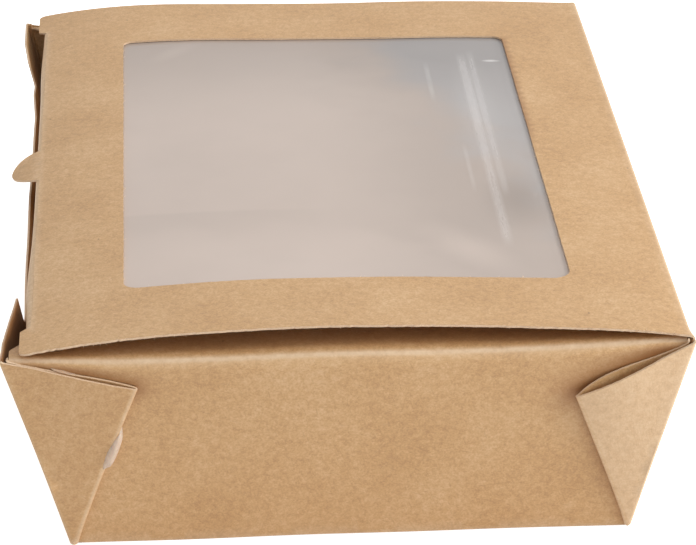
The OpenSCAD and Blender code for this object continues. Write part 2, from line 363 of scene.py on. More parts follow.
def rounded(points, radii):
    """Closed outline whose corners are rounded."""
    count = len(points)
    line = []
    for i in range(count):
        line += corner_arc(points[i - 1], points[i], points[(i + 1) % count], radii[i])
    return line


def spaced(points, gap, closed=True):
    """The same line with points at most a gap apart."""
    ends = list(points) + ([points[0]] if closed else [])
    line = []
    for a, b in zip(ends[:-1], ends[1:]):
        a, b = np.array(a, float), np.array(b, float)
        steps = max(1, math.ceil(np.linalg.norm(b - a) / gap))
        line += [a + (b - a) * i / steps for i in range(steps)]
    if not closed:
        line.append(np.array(ends[-1], float))
    return line


def rounded_open(points, radii):
    """Open line whose inner corners are rounded."""
    line = [np.array(points[0], float)]
    for i in range(1, len(points) - 1):
        line += corner_arc(points[i - 1], points[i], points[i + 1], radii[i])
    line.append(np.array(points[-1], float))
    return line


def fold_line(start, end, side=1):
    """Straight crease between two flat points, mirrored where the side is -1."""
    return spaced([(side * x, y) for x, y in (start, end)], LINE_GAP, closed=False)


def frayed(loop, depth, seed, bite=0.0):
    """A cut line with the small unevenness of cut board."""
    rng = np.random.default_rng(seed)
    line = np.array(loop, float)
    ahead_of = np.roll(line, -1, axis=0) - np.roll(line, 1, axis=0)
    length = np.linalg.norm(ahead_of, axis=1)
    length[length == 0] = 1
    sideways = np.column_stack([-ahead_of[:, 1], ahead_of[:, 0]]) / length[:, None]
    rough = rng.normal(0, 1, len(line))
    rough = 0.6 * rough + 0.4 * np.roll(rough, 1)
    teeth = np.maximum(0, rng.normal(0, 1, len(line))) * bite
    return list(line + sideways * (rough * depth + teeth)[:, None])


# %% Filling an outline
SHEET_GAP = 2.2
ROW_STEP = 0.87
CLEAR_OF_LINES = 0.45
MERGE_WITHIN = 1e-5


def inside(points, loop):
    """True for each point that lies inside a closed loop."""
    loop = np.array(loop)
    nxt = np.roll(loop, -1, axis=0)
    hit = np.zeros(len(points), bool)
    for a, b in zip(loop, nxt):
        spans = (a[1] > points[:, 1]) != (b[1] > points[:, 1])
        if spans.any() and a[1] != b[1]:
            cross = a[0] + (points[:, 1] - a[1]) * (b[0] - a[0]) / (b[1] - a[1])
            hit ^= spans & (points[:, 0] < cross)
    return hit


def flat_sheet(outline, holes=(), creases=(), gap=SHEET_GAP):
    """Triangles that fill an outline, with its crease lines kept as edges."""
    points, edges = [], []
    for loop in [outline, *holes]:
        first = len(points)
        points += [tuple(p) for p in loop]
        edges += [(first + i, first + (i + 1) % len(loop)) for i in range(len(loop))]
    for line in creases:
        first = len(points)
        points += [tuple(p) for p in line]
        edges += [(first + i, first + i + 1) for i in range(len(line) - 1)]
    tree = KDTree(len(points))
    for i, p in enumerate(points):
        tree.insert((p[0], p[1], 0), i)
    tree.balance()
    low, high = np.min(outline, axis=0), np.max(outline, axis=0)
    across = np.arange(low[0] + gap / 2, high[0], gap)
    along = np.arange(low[1] + gap / 2, high[1], gap * ROW_STEP)
    grid = np.array([(x + (gap / 2 if j % 2 else 0), y) for j, y in enumerate(along) for x in across])
    grid = grid[inside(grid, outline)]
    for hole in holes:
        grid = grid[~inside(grid, hole)]
    clear = gap * CLEAR_OF_LINES
    points += [tuple(p) for p in grid if tree.find((p[0], p[1], 0))[2] > clear]
    made = delaunay_2d_cdt([Vector(p) for p in points], edges, [], 0, MERGE_WITHIN, False)
    flat = np.array([tuple(p) for p in made[0]])
    faces = np.array([f for f in made[2] if len(f) == 3])
    middle = flat[faces].mean(axis=1)
    keep = inside(middle, outline)
    for hole in holes:
        keep &= ~inside(middle, hole)
    used, numbers = np.unique(faces[keep], return_inverse=True)
    return flat[used], numbers.reshape(-1, 3)


# %% [markdown]
# A flat sheet becomes board in two moves. A bending function says where each flat point goes,
# and the sheet's own slope there says which way its thickness points. The mesh has two faces
# and a narrow cut edge between them, and it keeps the flat coordinates as an attribute, so the
# fibres later run over every fold as they do on real board.

# %% From sheet to board
SLOPE_STEP = 0.02


def open_edges(faces):
    """Edges that belong to one triangle only: the rim of a sheet and of its holes."""
    sides = {}
    for a, b, c in faces:
        for edge in ((a, b), (b, c), (c, a)):
            if (edge[1], edge[0]) in sides:
                del sides[(edge[1], edge[0])]
            else:
                sides[edge] = True
    return np.array(list(sides), int)


def board_part(sheet, bend, crease_marks=None, waves=None, thickness=BOARD,
               hidden_edge=None, top_marks=None):
    """Points, faces, face kinds and attributes of a bent sheet with real thickness."""
    flat, faces = sheet
    u, v = flat[:, 0], flat[:, 1]
    across = bend(u + SLOPE_STEP, v) - bend(u - SLOPE_STEP, v)
    along = bend(u, v + SLOPE_STEP) - bend(u, v - SLOPE_STEP)
    normal = np.cross(across, along)
    normal /= np.linalg.norm(normal, axis=1)[:, None]
    middle = bend(u, v)
    if waves is not None:
        middle = middle + normal * waves(u, v)[:, None]
    top = middle + normal * thickness / 2
    bottom = middle - normal * thickness / 2
    count = len(flat)
    # The crease values carry worn folds, painted highlights and painted shade.
    marks = np.zeros(count) if crease_marks is None else crease_marks(u, v)
    top_crease = marks if top_marks is None else marks + top_marks(u, v)
    rim = open_edges(faces)
    if hidden_edge is not None:
        centre = flat[rim].mean(axis=1)
        rim = rim[~hidden_edge(centre[:, 0], centre[:, 1])]
    quads = [(a, a + count, b + count, b) for a, b in rim]
    all_faces = [tuple(f) for f in faces] + [tuple(f[::-1] + count) for f in faces] + quads
    kinds = [0] * (2 * len(faces)) + [1] * len(quads)
    upper = np.column_stack([flat, np.full(count, thickness / 2)])
    lower = np.column_stack([flat, np.full(count, -thickness / 2)])
    return {
        "points": np.concatenate([top, bottom]),
        "faces": all_faces,
        "kinds": kinds,
        "sheet": np.concatenate([upper, lower]),
        "crease": np.concatenate([top_crease, marks]),
    }


# %% From board to object
SHARP_ANGLE = math.radians(40)


def board_object(name, parts, materials):
    """One object from several board parts."""
    points = np.concatenate([part["points"] for part in parts])
    faces, kinds, first = [], [], 0
    for part in parts:
        faces += [tuple(int(i) + first for i in face) for face in part["faces"]]
        kinds += part["kinds"]
        first += len(part["points"])
    mesh = bpy.data.meshes.new(name)
    mesh.from_pydata([tuple(p) for p in points * MM], [], faces)
    for material in materials:
        mesh.materials.append(material)
    mesh.polygons.foreach_set("material_index", kinds)
    mesh.polygons.foreach_set("use_smooth", [True] * len(faces))
    for key, kind, field in (("sheet", "FLOAT_VECTOR", "vector"), ("crease", "FLOAT", "value")):
        values = np.concatenate([part[key] for part in parts]).astype(np.float32)
        mesh.attributes.new(key, kind, "POINT").data.foreach_set(field, values.ravel())
    mesh.set_sharp_from_angle(angle=SHARP_ANGLE)
    mesh.update()
    body = bpy.data.objects.new(name, mesh)
    bpy.context.scene.collection.objects.link(body)
    print(f"{name}: {len(points)} points, {len(faces)} faces")
    return body


# %% [markdown]
# Kraft board is unbleached pulp, so its colour comes from the fibres: a warm tan with darker and
# lighter hairs, cloudy density and a few specks of bark. One shader group makes all of that from
# the flat coordinates, and both the board's face and its cut edge use it with their own values.

# %% Kraft fibre group
KRAFT = (0.610, 0.362, 0.161, 1)
KRAFT_DARK = (0.38, 0.19, 0.070, 1)
KRAFT_LIGHT = (0.80, 0.56, 0.33, 1)
BARK = (0.13, 0.065, 0.025, 1)
# Worn folds and painted highlights share the pale colour; the two dark colours are painted shade.
WORN_AND_HIGHLIGHT = (0.86, 0.665, 0.46, 1)
PAINTED_SHADE = (0.29, 0.112, 0.027, 1)
PAINTED_DEEP_SHADE = (0.045, 0.024, 0.012, 1)
HAIR_STRETCH = (2.6, 0.34)
HAIR_TURNS = [(0.35, 3), (1.25, 17), (2.2, 29), (2.9, 41)]


def pulp_colour(group, pulp, clouds, mottle, grain, contrast):
    """The pulp's own colour, cloudy at the large scale and grainy at the small."""
    shade = maths(group, "ADD", levels(group, clouds, 0.3, 0.7, -0.35, 0.35),
                  levels(group, mottle, 0.25, 0.75, -0.52, 0.52))
    shade = maths(group, "ADD", shade, levels(group, grain, 0.2, 0.8, -0.72, 0.72))
    shade = times(group, shade, contrast)
    colour = mixed(group, levels(group, shade, 0, -1, 0, 0.55), pulp, KRAFT_DARK)
    return mixed(group, levels(group, shade, 0, 1, 0, 0.55), colour, KRAFT_LIGHT)


def with_hairs(group, colour, hairs):
    """The colour with dark hairs and light hairs over it."""
    dark = levels(group, maths(group, "MINIMUM", hairs[0], hairs[1]), 0.36, 0.28, 0, 1, True)
    light = levels(group, maths(group, "MAXIMUM", hairs[2], hairs[3]), 0.66, 0.76, 0, 1, True)
    colour = mixed(group, times(group, dark, 0.22), colour, KRAFT_DARK)
    return mixed(group, times(group, light, 0.20), colour, KRAFT_LIGHT)


def with_bark(group, colour, place):
    """The colour with specks of bark: the middles of a few random cells."""
    cells = add_node(group, "ShaderNodeTexVoronoi", {"Vector": place, "Scale": 0.16, "Randomness": 1.0})
    speck = levels(group, cells.outputs["Distance"], 0.045, 0.025, 0, 1)
    draw = add_node(group, "ShaderNodeSeparateColor", {"Color": cells.outputs["Color"]}).outputs[0]
    rare = levels(group, draw, 0.78, 0.8, 0, 1)
    return mixed(group, times(group, times(group, speck, rare), 0.8), colour, BARK)


def with_wear_and_painted_light(group, colour, crease, mottle):
    """The colour worn pale and lit by a painted highlight where the crease value is above zero, and
    darkened by painted shade below it.
    """
    broken = times(group, crease, levels(group, mottle, 0.3, 0.62, 0.65, 1))
    # Above zero: wear and painted highlight. Below zero: painted shade, deepest below minus one.
    colour = mixed(group, times(group, broken, 0.85), colour, WORN_AND_HIGHLIGHT)
    colour = mixed(group, levels(group, crease, 0, -1, 0, 0.95), colour, PAINTED_SHADE)
    return mixed(group, levels(group, crease, -1, -2, 0, 0.95), colour, PAINTED_DEEP_SHADE)


def kraft_group():
    """Group that turns sheet coordinates into kraft colour, roughness and height."""
    group = bpy.data.node_groups.new("kraft_fibres", "ShaderNodeTree")
    inputs = {"Sheet": "Vector", "Pulp": "Color", "Crease": "Float", "Contrast": "Float"}
    outputs = {"Color": "Color", "Roughness": "Float", "Height": "Float"}
    for way, sockets in (("INPUT", inputs), ("OUTPUT", outputs)):
        for name, kind in sockets.items():
            group.interface.new_socket(name, in_out=way, socket_type="NodeSocket" + kind)
    start = add_node(group, "NodeGroupInput").outputs
    place = start["Sheet"]
    clouds = noise(group, place, 0.045, 3, 0.55)
    mottle = noise(group, place, 0.55, 4, 0.65, shift=13)
    grain = noise(group, place, 2.4, 2, 0.6, shift=31)
    hairs = [noise(group, place, 1.0, 1, 0.5, HAIR_STRETCH, *hair) for hair in HAIR_TURNS]
    colour = pulp_colour(group, start["Pulp"], clouds, mottle, grain, start["Contrast"])
    colour = with_bark(group, with_hairs(group, colour, hairs), place)
    colour = with_wear_and_painted_light(group, colour, start["Crease"], mottle)
    height = maths(group, "ADD", times(group, mottle, 0.28), times(group, grain, 0.5))
    height = maths(group, "ADD", height, times(group, hairs[2], 0.3))
    rough = levels(group, mottle, 0.2, 0.8, 0.48, 0.66)
    add_node(group, "NodeGroupOutput", {"Color": colour, "Roughness": rough, "Height": height})
    return group


kraft_fibres = kraft_group()
print("kraft group has", len(kraft_fibres.nodes), "nodes")

# %% [markdown]
# Two materials use the group. The face of the board is calendered, so it is smooth with a very
# soft sheen. The cut edge shows torn fibre ends: paler, rougher and faintly layered.

# %% Kraft materials
CUT_PULP = (0.74, 0.54, 0.36, 1)


def kraft_material(name, pulp, contrast, bump, spread, sheet_scale=1.0):
    """Board material built round the fibre group."""
    material, tree, shader = new_material(name)
    values = {0: attribute(tree, "sheet", "Vector"), 3: sheet_scale}
    place = add_node(tree, "ShaderNodeVectorMath", values, operation="SCALE").outputs[0]
    fibres = add_node(tree, "ShaderNodeGroup", node_tree=kraft_fibres)
    wire(tree, fibres, {"Sheet": place, "Crease": attribute(tree, "crease", "Fac"),
                        "Pulp": pulp, "Contrast": contrast})
    relief = add_node(tree, "ShaderNodeBump", {"Strength": bump, "Distance": spread,
                                               "Height": fibres.outputs["Height"]})
    wire(tree, shader, {"Base Color": fibres.outputs["Color"],
                        "Roughness": fibres.outputs["Roughness"],
                        "Normal": relief.outputs["Normal"],
                        "Specular IOR Level": 0.6, "Sheen Weight": 0.03, "Sheen Roughness": 0.5})
    return material


kraft_face = kraft_material("kraft_face", KRAFT, 1.15, bump=0.5, spread=0.00016)
kraft_edge = kraft_material("kraft_cut_edge", CUT_PULP, 1.0, bump=0.6, spread=0.0002, sheet_scale=2.2)
print("board materials:", kraft_face.name, kraft_edge.name)

# %% [markdown]
# The long strip of the tray runs from one dust flap down the front wall, over the base, up the
# back wall and into the other dust flap. Its folds are all parallel, so a rolling function in one
# plane bends it: each fold turns everything beyond it, and rounds the corner by its own radius.

# %% Rolling along a strip
def roll(a, b, q, place, turn, radius):
    """Fold a line of board by an angle at a place, with a round of that radius."""
    reach = radius * np.tan(turn / 2)
    p = q - place
    beyond = p >= reach
    arc = np.abs(p) < reach
    turned_a = place + (a - place) * np.cos(turn) - b * np.sin(turn)
    turned_b = (a - place) * np.sin(turn) + b * np.cos(turn)
    angle = np.clip((p + reach) / (2 * reach), 0, 1) * turn
    arc_a = place - reach + radius * np.sin(angle)
    arc_b = radius * (1 - np.cos(angle))
    a = np.where(beyond, turned_a, np.where(arc, arc_a, a))
    b = np.where(beyond, turned_b, np.where(arc, arc_b, b))
    return a, b


def near(value, centre, width):
    """Bell curve that is one at its centre."""
    return np.exp(-((value - centre) / width) ** 2)


# %% [markdown]
# The front wall of the real box has swollen, and its top fold is wide and soft at mid width and
# sharp at the ends. The swelling, the sag of the fold and the shade under the ears are laid over
# the exact fold, each as a smooth function of the place on the flat sheet.

# %% Long strip of the tray
FRONT_BULGE = 2.3
BACK_BULGE = 1.0
BULGE_HALF = 64
BULGE_POWER = 1.3
BULGE_FADE = 14
DUST_PLACE = WALL_Y + SLANT
BACK_ROOT = 1.2
FRONT_ROLL = 1.5
MID_ROLL = 1.7
MID_HALF = 60
BACK_ROLL = 2.0
FRONT_DUST_RISE = math.radians(-1.5)
FRONT_SAGS = [(0.6, -45, 21), (-0.3, -4, 13), (0.3, 42, 24)]
MID_SAG = 0.25


def across_bulge(x, half=BULGE_HALF):
    """One at mid width, falling to zero at the ends."""
    return np.clip(1 - (x / half) ** 2, 0, 1)


def up_wall(q):
    """Share of the way from the foot of the front or back wall to its top fold."""
    return np.clip((q - WALL_Y) / SLANT, 0, 1)


def past_wall(q):
    """One on the wall, fading along the dust flap."""
    return np.exp(-np.clip(q - DUST_PLACE, 0, None) / BULGE_FADE)


def bend_long_strip(x, s):
    """Place of a flat point of the long strip. Its walls swell most at mid width and on top."""
    q = np.abs(s)
    side = np.where(s < 0, -1.0, 1.0)
    rounder = across_bulge(x, MID_HALF)
    radius = np.where(s < 0, FRONT_ROLL + MID_ROLL * rounder, BACK_ROLL)
    turn = math.pi / 2 + LEAN - np.where(s < 0, FRONT_DUST_RISE, 0)
    a, b = roll(q, np.zeros_like(q), q, DUST_PLACE, turn, radius)
    a, b = roll(a, b, q, WALL_Y, math.pi / 2 - LEAN, CREASE_R)
    bulge = np.where(s < 0, FRONT_BULGE, BACK_BULGE)
    a = a + bulge * across_bulge(x) * up_wall(q) ** BULGE_POWER * past_wall(q)
    sag = sum(depth * near(x, place, width) for depth, place, width in FRONT_SAGS)
    sag = (sag - MID_SAG * rounder) * (s < 0)
    return np.column_stack([x, side * a, b + HALF - sag * (up_wall(q) ** 4 * past_wall(q))])


def half_outline(root):
    """Half of the long strip's outline, whose dust flap keeps its full width up to a root."""
    tight = CREASE_R * math.tan((math.pi / 2 - LEAN) / 2)
    wall_foot = BASE_X - FOLD_INSET
    wall_head = wall_foot + WALL_FLARE
    return [
        (BASE_X - tight, 0), (BASE_X - tight, WALL_Y - tight), (wall_foot, WALL_Y),
        (wall_head, DUST_PLACE), (wall_head, DUST_PLACE + DUST_ROOT),
        (wall_head - DUST_DRAW, DUST_PLACE + DUST_LEN),
        (-wall_head + DUST_RELIEF + DUST_DRAW, DUST_PLACE + DUST_LEN),
        (-wall_head + DUST_RELIEF, DUST_PLACE + root + 1.5 * DUST_RELIEF),
        (-wall_head, DUST_PLACE + root), (-wall_head, DUST_PLACE),
        (-wall_foot, WALL_Y), (tight - BASE_X, WALL_Y - tight), (tight - BASE_X, 0),
    ]


def strip_outline():
    """Flat outline of the long strip: base, walls and dust flaps."""
    radii = [0, 0, 0, 0, 0.5, DUST_R, DUST_R, 2, 0.5, 0, 0, 0, 0]
    back = half_outline(BACK_ROOT)[:-1]
    front = [(x, -s) for x, s in reversed(half_outline(DUST_ROOT)[1:])]
    return rounded(back + front, radii[:-1] + radii[:0:-1])


# %% Shade beside the ears
EAR_TOP_SHADES = [((-66, 49.0), (-43.7, 42.0), 0.8, 3.0, 2), ((68, 48.5), (46.4, 36.9), 1.0, 4.2, 1.5)]
EAR_SIDE_SHADE = ((46.4, 36.9), (58.8, 0), 0.62, 1.8, 1.2)
SHADE_TOP = 49.6


def edge_shade(x, u, start, end, weight, reach, power):
    """Shade on a wall that fades away from a straight edge."""
    run = np.array(end) - np.array(start)
    share = np.clip(((x - start[0]) * run[0] + (u - start[1]) * run[1]) / (run @ run), 0, 1)
    away = np.hypot(x - start[0] - share * run[0], u - start[1] - share * run[1])
    return weight * np.exp(-(away / reach) ** power)


def beside_ears(x, u):
    """Shade on the front wall above both ears and left of the right one."""
    over = np.clip((SHADE_TOP - u) / 2.5, 0, 1)
    left, right = [edge_shade(x, u, *shade) * over for shade in EAR_TOP_SHADES]
    return np.maximum(np.maximum(left, right), edge_shade(x, u, *EAR_SIDE_SHADE))


# %% Long strip as board
EDGE_GAP = 0.7
FRAY = 0.025
BEYOND = 90


def fold_rows(place, reach, rows):
    """Crease lines across a fold, parallel to x."""
    return [fold_line((-BEYOND, s), (BEYOND, s)) for s in np.linspace(place - reach, place + reach, rows)]


def strip_marks(x, s):
    """Worn folds with a painted highlight, painted shade beside the ears and under the lid."""
    q = np.abs(s)
    # The top fold's mark is a painted highlight as well as wear; the negative terms are painted shade.
    fold = 0.95 * near(q, DUST_PLACE + 0.45, 0.75) + 0.15 * near(q, DUST_PLACE - 1.0, 1.3)
    painted_ear_shade = (s < 0) * (q < DUST_PLACE) * beside_ears(x, q - WALL_Y)
    deep = 0.34 * (s < 0) * np.clip((q - DUST_PLACE - 1.5) / 3, 0, 1) * near(q, DUST_PLACE + 3, 12)
    return fold + 0.4 * near(q, WALL_Y, 0.6) - painted_ear_shade - deep


def strip_waves(x, s):
    """Slight unevenness of the long strip."""
    return 0.10 * np.sin(x / 17 + 1.3) * np.sin(s / 23) + 0.06 * np.sin(x / 7.3 + s / 9.1)


def long_strip():
    """The board part of the long strip."""
    outline = frayed(spaced(strip_outline(), EDGE_GAP), FRAY, 11)
    creases = []
    for side in (-1, 1):
        radius = FRONT_ROLL + MID_ROLL if side < 0 else BACK_ROLL
        creases += fold_rows(side * DUST_PLACE, radius * math.tan((math.pi / 2 + LEAN) / 2), 15)
        creases += fold_rows(side * WALL_Y, CREASE_R * 0.79, 5)
    sheet = flat_sheet(outline, creases=creases)
    return board_part(sheet, bend_long_strip, strip_marks, strip_waves)


strip_part = long_strip()
print("long strip:", len(strip_part["points"]), "points")

# %% [markdown]
# A side wall and its two web corners are one strip too. At each end the board turns round the
# corner of the tray, doubles back on a diagonal crease, and doubles back once more to lie on the
# front or back wall. The diagonal halves the web, which lets the corner fold flat.

# %% Directions at a corner
CORNER_ROLL = 0.6
WEB_ROLL = LAYER / 2
WEB_TURN = math.pi * WEB_ROLL
SIDE_TIGHT = CREASE_R * math.tan((math.pi / 2 - LEAN) / 2)
HALF_COS = math.cos(WEB_HALF_ANGLE)
HALF_SIN = math.sin(WEB_HALF_ANGLE)
HALF_TAN = math.tan(WEB_HALF_ANGLE)
CORNER_COS = math.cos(CORNER_ANGLE)
CORNER_SIN = math.sin(CORNER_ANGLE)

EDGE_UP = np.array([CORNER_COS * math.sin(LEAN), CORNER_SIN, CORNER_COS * math.cos(LEAN)])
SIDE_OUT = np.array([math.cos(LEAN), 0, -math.sin(LEAN)])
SIDE_ALONG = np.array([-CORNER_SIN * math.sin(LEAN), CORNER_COS, -CORNER_SIN * math.cos(LEAN)])
WEB_OUT = np.array([0, math.cos(LEAN), -math.sin(LEAN)])
WEB_ALONG = np.array([-CORNER_COS, CORNER_SIN * math.sin(LEAN), CORNER_SIN * math.cos(LEAN)])
CORNER_TURN = math.acos(float(SIDE_ALONG @ WEB_ALONG))
CORNER_TIGHT = CORNER_ROLL * math.tan(CORNER_TURN / 2)
CORNER_FOOT = np.array([BASE_X, BASE_Y, HALF])


def from_corner(t, v):
    """How far a flat point lies up the corner's fold, and how far beyond it."""
    c = (t - BASE_Y) * CORNER_SIN + v * CORNER_COS
    p = (t - BASE_Y) * CORNER_COS - v * CORNER_SIN
    return c, p


def to_flat(c, p):
    """Flat point that lies so far up the corner's fold and so far beyond it."""
    return BASE_Y + c * CORNER_SIN + p * CORNER_COS, c * CORNER_COS - p * CORNER_SIN


def diagonal(c, p):
    """The same place along and across the diagonal crease. Used twice, it gives the first again."""
    return c * HALF_COS + p * HALF_SIN, c * HALF_SIN - p * HALF_COS


def web_flat(k, g):
    """Flat point given along and across the diagonal crease."""
    return to_flat(*diagonal(k, g))


print(f"walls turn {math.degrees(CORNER_TURN):.1f} degrees round a corner")

# %% Folding a web
NARROWEST = 0.5
BLUNT_FOOT = 0.6
BLUNT_REACH = 6


def web_share(up_edge, in_web):
    """Share of the way from the corner's edge to the diagonal crease."""
    return np.clip(in_web / np.clip(up_edge * HALF_TAN, NARROWEST, None), 0, 1)


def web_place(c, p):
    """Folded place of a web point in the plane of its wall: up the edge, in from it, and out."""
    k, g = diagonal(c, p)
    m = np.clip(-g, 0, None)
    turning = m < WEB_TURN
    w = np.where(g >= 0, g, np.where(turning, -WEB_ROLL * np.sin(m / WEB_ROLL), m - WEB_TURN))
    first_out = np.where(turning, -WEB_ROLL * (1 - np.cos(m / WEB_ROLL)), -2 * WEB_ROLL)
    out = np.where(g >= 0, 0, first_out)
    up_edge, in_web = diagonal(k, w)
    inner = g <= -WEB_TURN
    m2 = np.where(inner, np.clip(FOLD_INSET - in_web, 0, None), 0)
    second = m2 < WEB_TURN
    in_wall = np.where(second, -WEB_ROLL * np.sin(m2 / WEB_ROLL), m2 - WEB_TURN) + FOLD_INSET
    second_out = np.where(second, -WEB_ROLL * (1 - np.cos(m2 / WEB_ROLL)), -2 * WEB_ROLL)
    past = inner & (m2 > 0)
    in_web = np.where(past, in_wall, in_web)
    out = np.where(past, second_out - 2 * WEB_ROLL, out)
    blunt = BLUNT_FOOT * np.exp(-np.clip(up_edge, 0, None) / BLUNT_REACH)
    return up_edge, in_web + blunt * web_share(up_edge, in_web), out, k, g


def ear_shape(length, stand, bow, crown, sag=0, narrow=1, corner_out=0):
    """How one ear has sprung, and how its inner edge swells and sags."""
    return {"length": length, "stand": stand, "bow": bow, "crown": crown, "sag": sag,
            "narrow": narrow, "corner_out": corner_out}


def web_spring(k, in_web, up_edge, g, ear):
    """How far the web's layers spring out from where they would lie pressed flat."""
    share = web_share(up_edge, in_web)
    high = np.clip(k / ear["length"], 0, 1)
    both = ear["stand"] * share ** 1.5 * high ** 2
    outer = ear["bow"] * 4 * share * (1 - share) * high ** 2.5
    fade = np.clip((g + WEB_TURN) / WEB_TURN, 0, 1)
    return both + outer * np.where(g >= 0, 1, fade)


# %% Folding a whole side strip
PUSH_FADE = 12
CORNER_REACH = 3


def bend_side_strip(t, v, ears, wall_push):
    """Place of a flat point of a side wall or of its web corners, on the +x side."""
    side = np.where(t < 0, -1.0, 1.0)
    t = np.abs(t)
    a, b = roll(BASE_X + v, np.zeros_like(v), BASE_X + v, BASE_X, math.pi / 2 - LEAN, CREASE_R)
    wall = np.column_stack([a, t, b + HALF])
    c, p = from_corner(t, v)
    angle = np.clip((p + CORNER_TIGHT) / (2 * CORNER_TIGHT), 0, 1) * CORNER_TURN
    along = -CORNER_TIGHT + CORNER_ROLL * np.sin(angle)
    inward = CORNER_ROLL * (1 - np.cos(angle))
    corner = (CORNER_FOOT + c[:, None] * EDGE_UP + along[:, None] * SIDE_ALONG
              - inward[:, None] * SIDE_OUT)
    up_edge, in_web, out, k, g = web_place(c, p)
    spring, corner_out = np.zeros_like(c), np.zeros_like(c)
    for sign, ear in ((-1, ears[0]), (1, ears[1])):
        spring = np.where(side == sign, web_spring(k, in_web, up_edge, g, ear), spring)
        narrowed = CORNER_TIGHT + (in_web - CORNER_TIGHT) * ear["narrow"]
        in_web = np.where(side == sign, narrowed, in_web)
        corner_out = np.where(side == sign, ear["corner_out"], corner_out)
    web = (CORNER_FOOT + up_edge[:, None] * EDGE_UP + in_web[:, None] * WEB_ALONG
           + (out + spring)[:, None] * WEB_OUT)
    corner = corner + spring[:, None] * WEB_OUT
    beyond = np.where((p < CORNER_TIGHT)[:, None], corner, web)
    place = np.where((p < -CORNER_TIGHT)[:, None], wall, beyond)
    swell = across_bulge(place[:, 0]) * np.clip(place[:, 2] / HEIGHT, 0, 1) ** BULGE_POWER
    place[:, 1] += np.where(p < CORNER_TIGHT, 0, swell * np.where(side < 0, FRONT_BULGE, BACK_BULGE))
    place[:, 1] *= side
    push = wall_push(place[:, 1], np.clip(v / SLANT, 0, 1))
    fade = np.clip(1 - p / PUSH_FADE, 0, 1)
    pulled = corner_out * near(p, 0, CORNER_REACH) * np.clip(c / SLANT, 0, 1) ** 2
    place[:, 0] += push * fade + pulled
    return place


# %% Outline of a side strip
FOOT_CUT = 0.45
EAR_TIP_RADII = [0.3, 0.35, 0.35]


def inner_edge(start, end, foot, ear):
    """The ear's hidden inner edge: swollen near its tip and sagging near the wall."""
    run = np.array(end) - np.array(start)
    outward = np.array([-run[1], run[0]]) / np.linalg.norm(run)
    if outward @ (np.array(start) - np.array(foot)) < 0:
        outward = -outward
    line = []
    for s in np.linspace(0, 1, 16)[1:-1]:
        rise = ear["crown"] * 5 * s * (1 - s) ** 2 - ear["sag"] * 6 * s ** 2 * (1 - s)
        line.append(tuple(np.array(start) + run * s + outward * rise))
    return line


def side_outline(wall_top, ear, top_cut):
    """Half of the flat outline, from the middle of the top edge to the middle of the foot."""
    edge_len = wall_top / CORNER_COS
    head = web_flat(edge_len * HALF_COS, edge_len * HALF_SIN)
    tip_out = web_flat(ear["length"], 0.0)
    tip_in = web_flat(ear["length"], -WEB_TURN)
    far_head = web_flat(edge_len * HALF_COS, -edge_len * HALF_SIN - WEB_TURN)
    foot_in = web_flat(FOOT_CUT, -FOOT_CUT * HALF_TAN - WEB_TURN)
    foot_mid = web_flat(FOOT_CUT, 0.0)
    foot_out = web_flat(FOOT_CUT * HALF_COS, FOOT_CUT * HALF_SIN)
    top = top_cut(head)
    points = top + [tip_out, tip_in, *inner_edge(tip_in, far_head, foot_in, ear), far_head, foot_in,
                    foot_mid, foot_out, (BASE_Y - 0.55, 0.5), (BASE_Y - 0.75, -SIDE_TIGHT)]
    radii = [0] * len(points)
    radii[len(top) - 1:len(top) + 2] = EAR_TIP_RADII
    return rounded_open(points, radii)


# %% Side strip as board
CORNER_ROWS = np.linspace(-CORNER_TIGHT, CORNER_TIGHT, 7)
DIAGONAL_ROWS = [1.8, 1.1, 0.6, 0.25, *np.linspace(0, -WEB_TURN, 6), -WEB_TURN - 0.4, -WEB_TURN - 1.0]
INSET_ROWS = FOLD_INSET - np.linspace(0, WEB_TURN, 5)
FOOT_ROWS = np.linspace(-SIDE_TIGHT, SIDE_TIGHT, 5)
ROW_START = 0.2
ROW_END = 60
POST_START = 62


def second_fold(c, inset):
    """Flat point on the fold that turns the web's inner layer back along the wall."""
    k, w = diagonal(c, inset)
    return web_flat(k, -w - WEB_TURN)


def side_creases():
    """Rows of edges along every fold of a side strip."""
    lines = []
    head = SLANT / CORNER_COS + 3
    for side in (-1, 1):
        lines += [fold_line(to_flat(ROW_START, p), to_flat(head, p), side) for p in CORNER_ROWS]
        lines += [fold_line(web_flat(0.4, g), web_flat(ROW_END, g), side) for g in DIAGONAL_ROWS]
        lines += [fold_line(second_fold(ROW_START, inset), second_fold(ROW_END, inset), side)
                  for inset in INSET_ROWS]
    return lines + [fold_line((-BASE_Y, v), (BASE_Y, v)) for v in FOOT_ROWS]


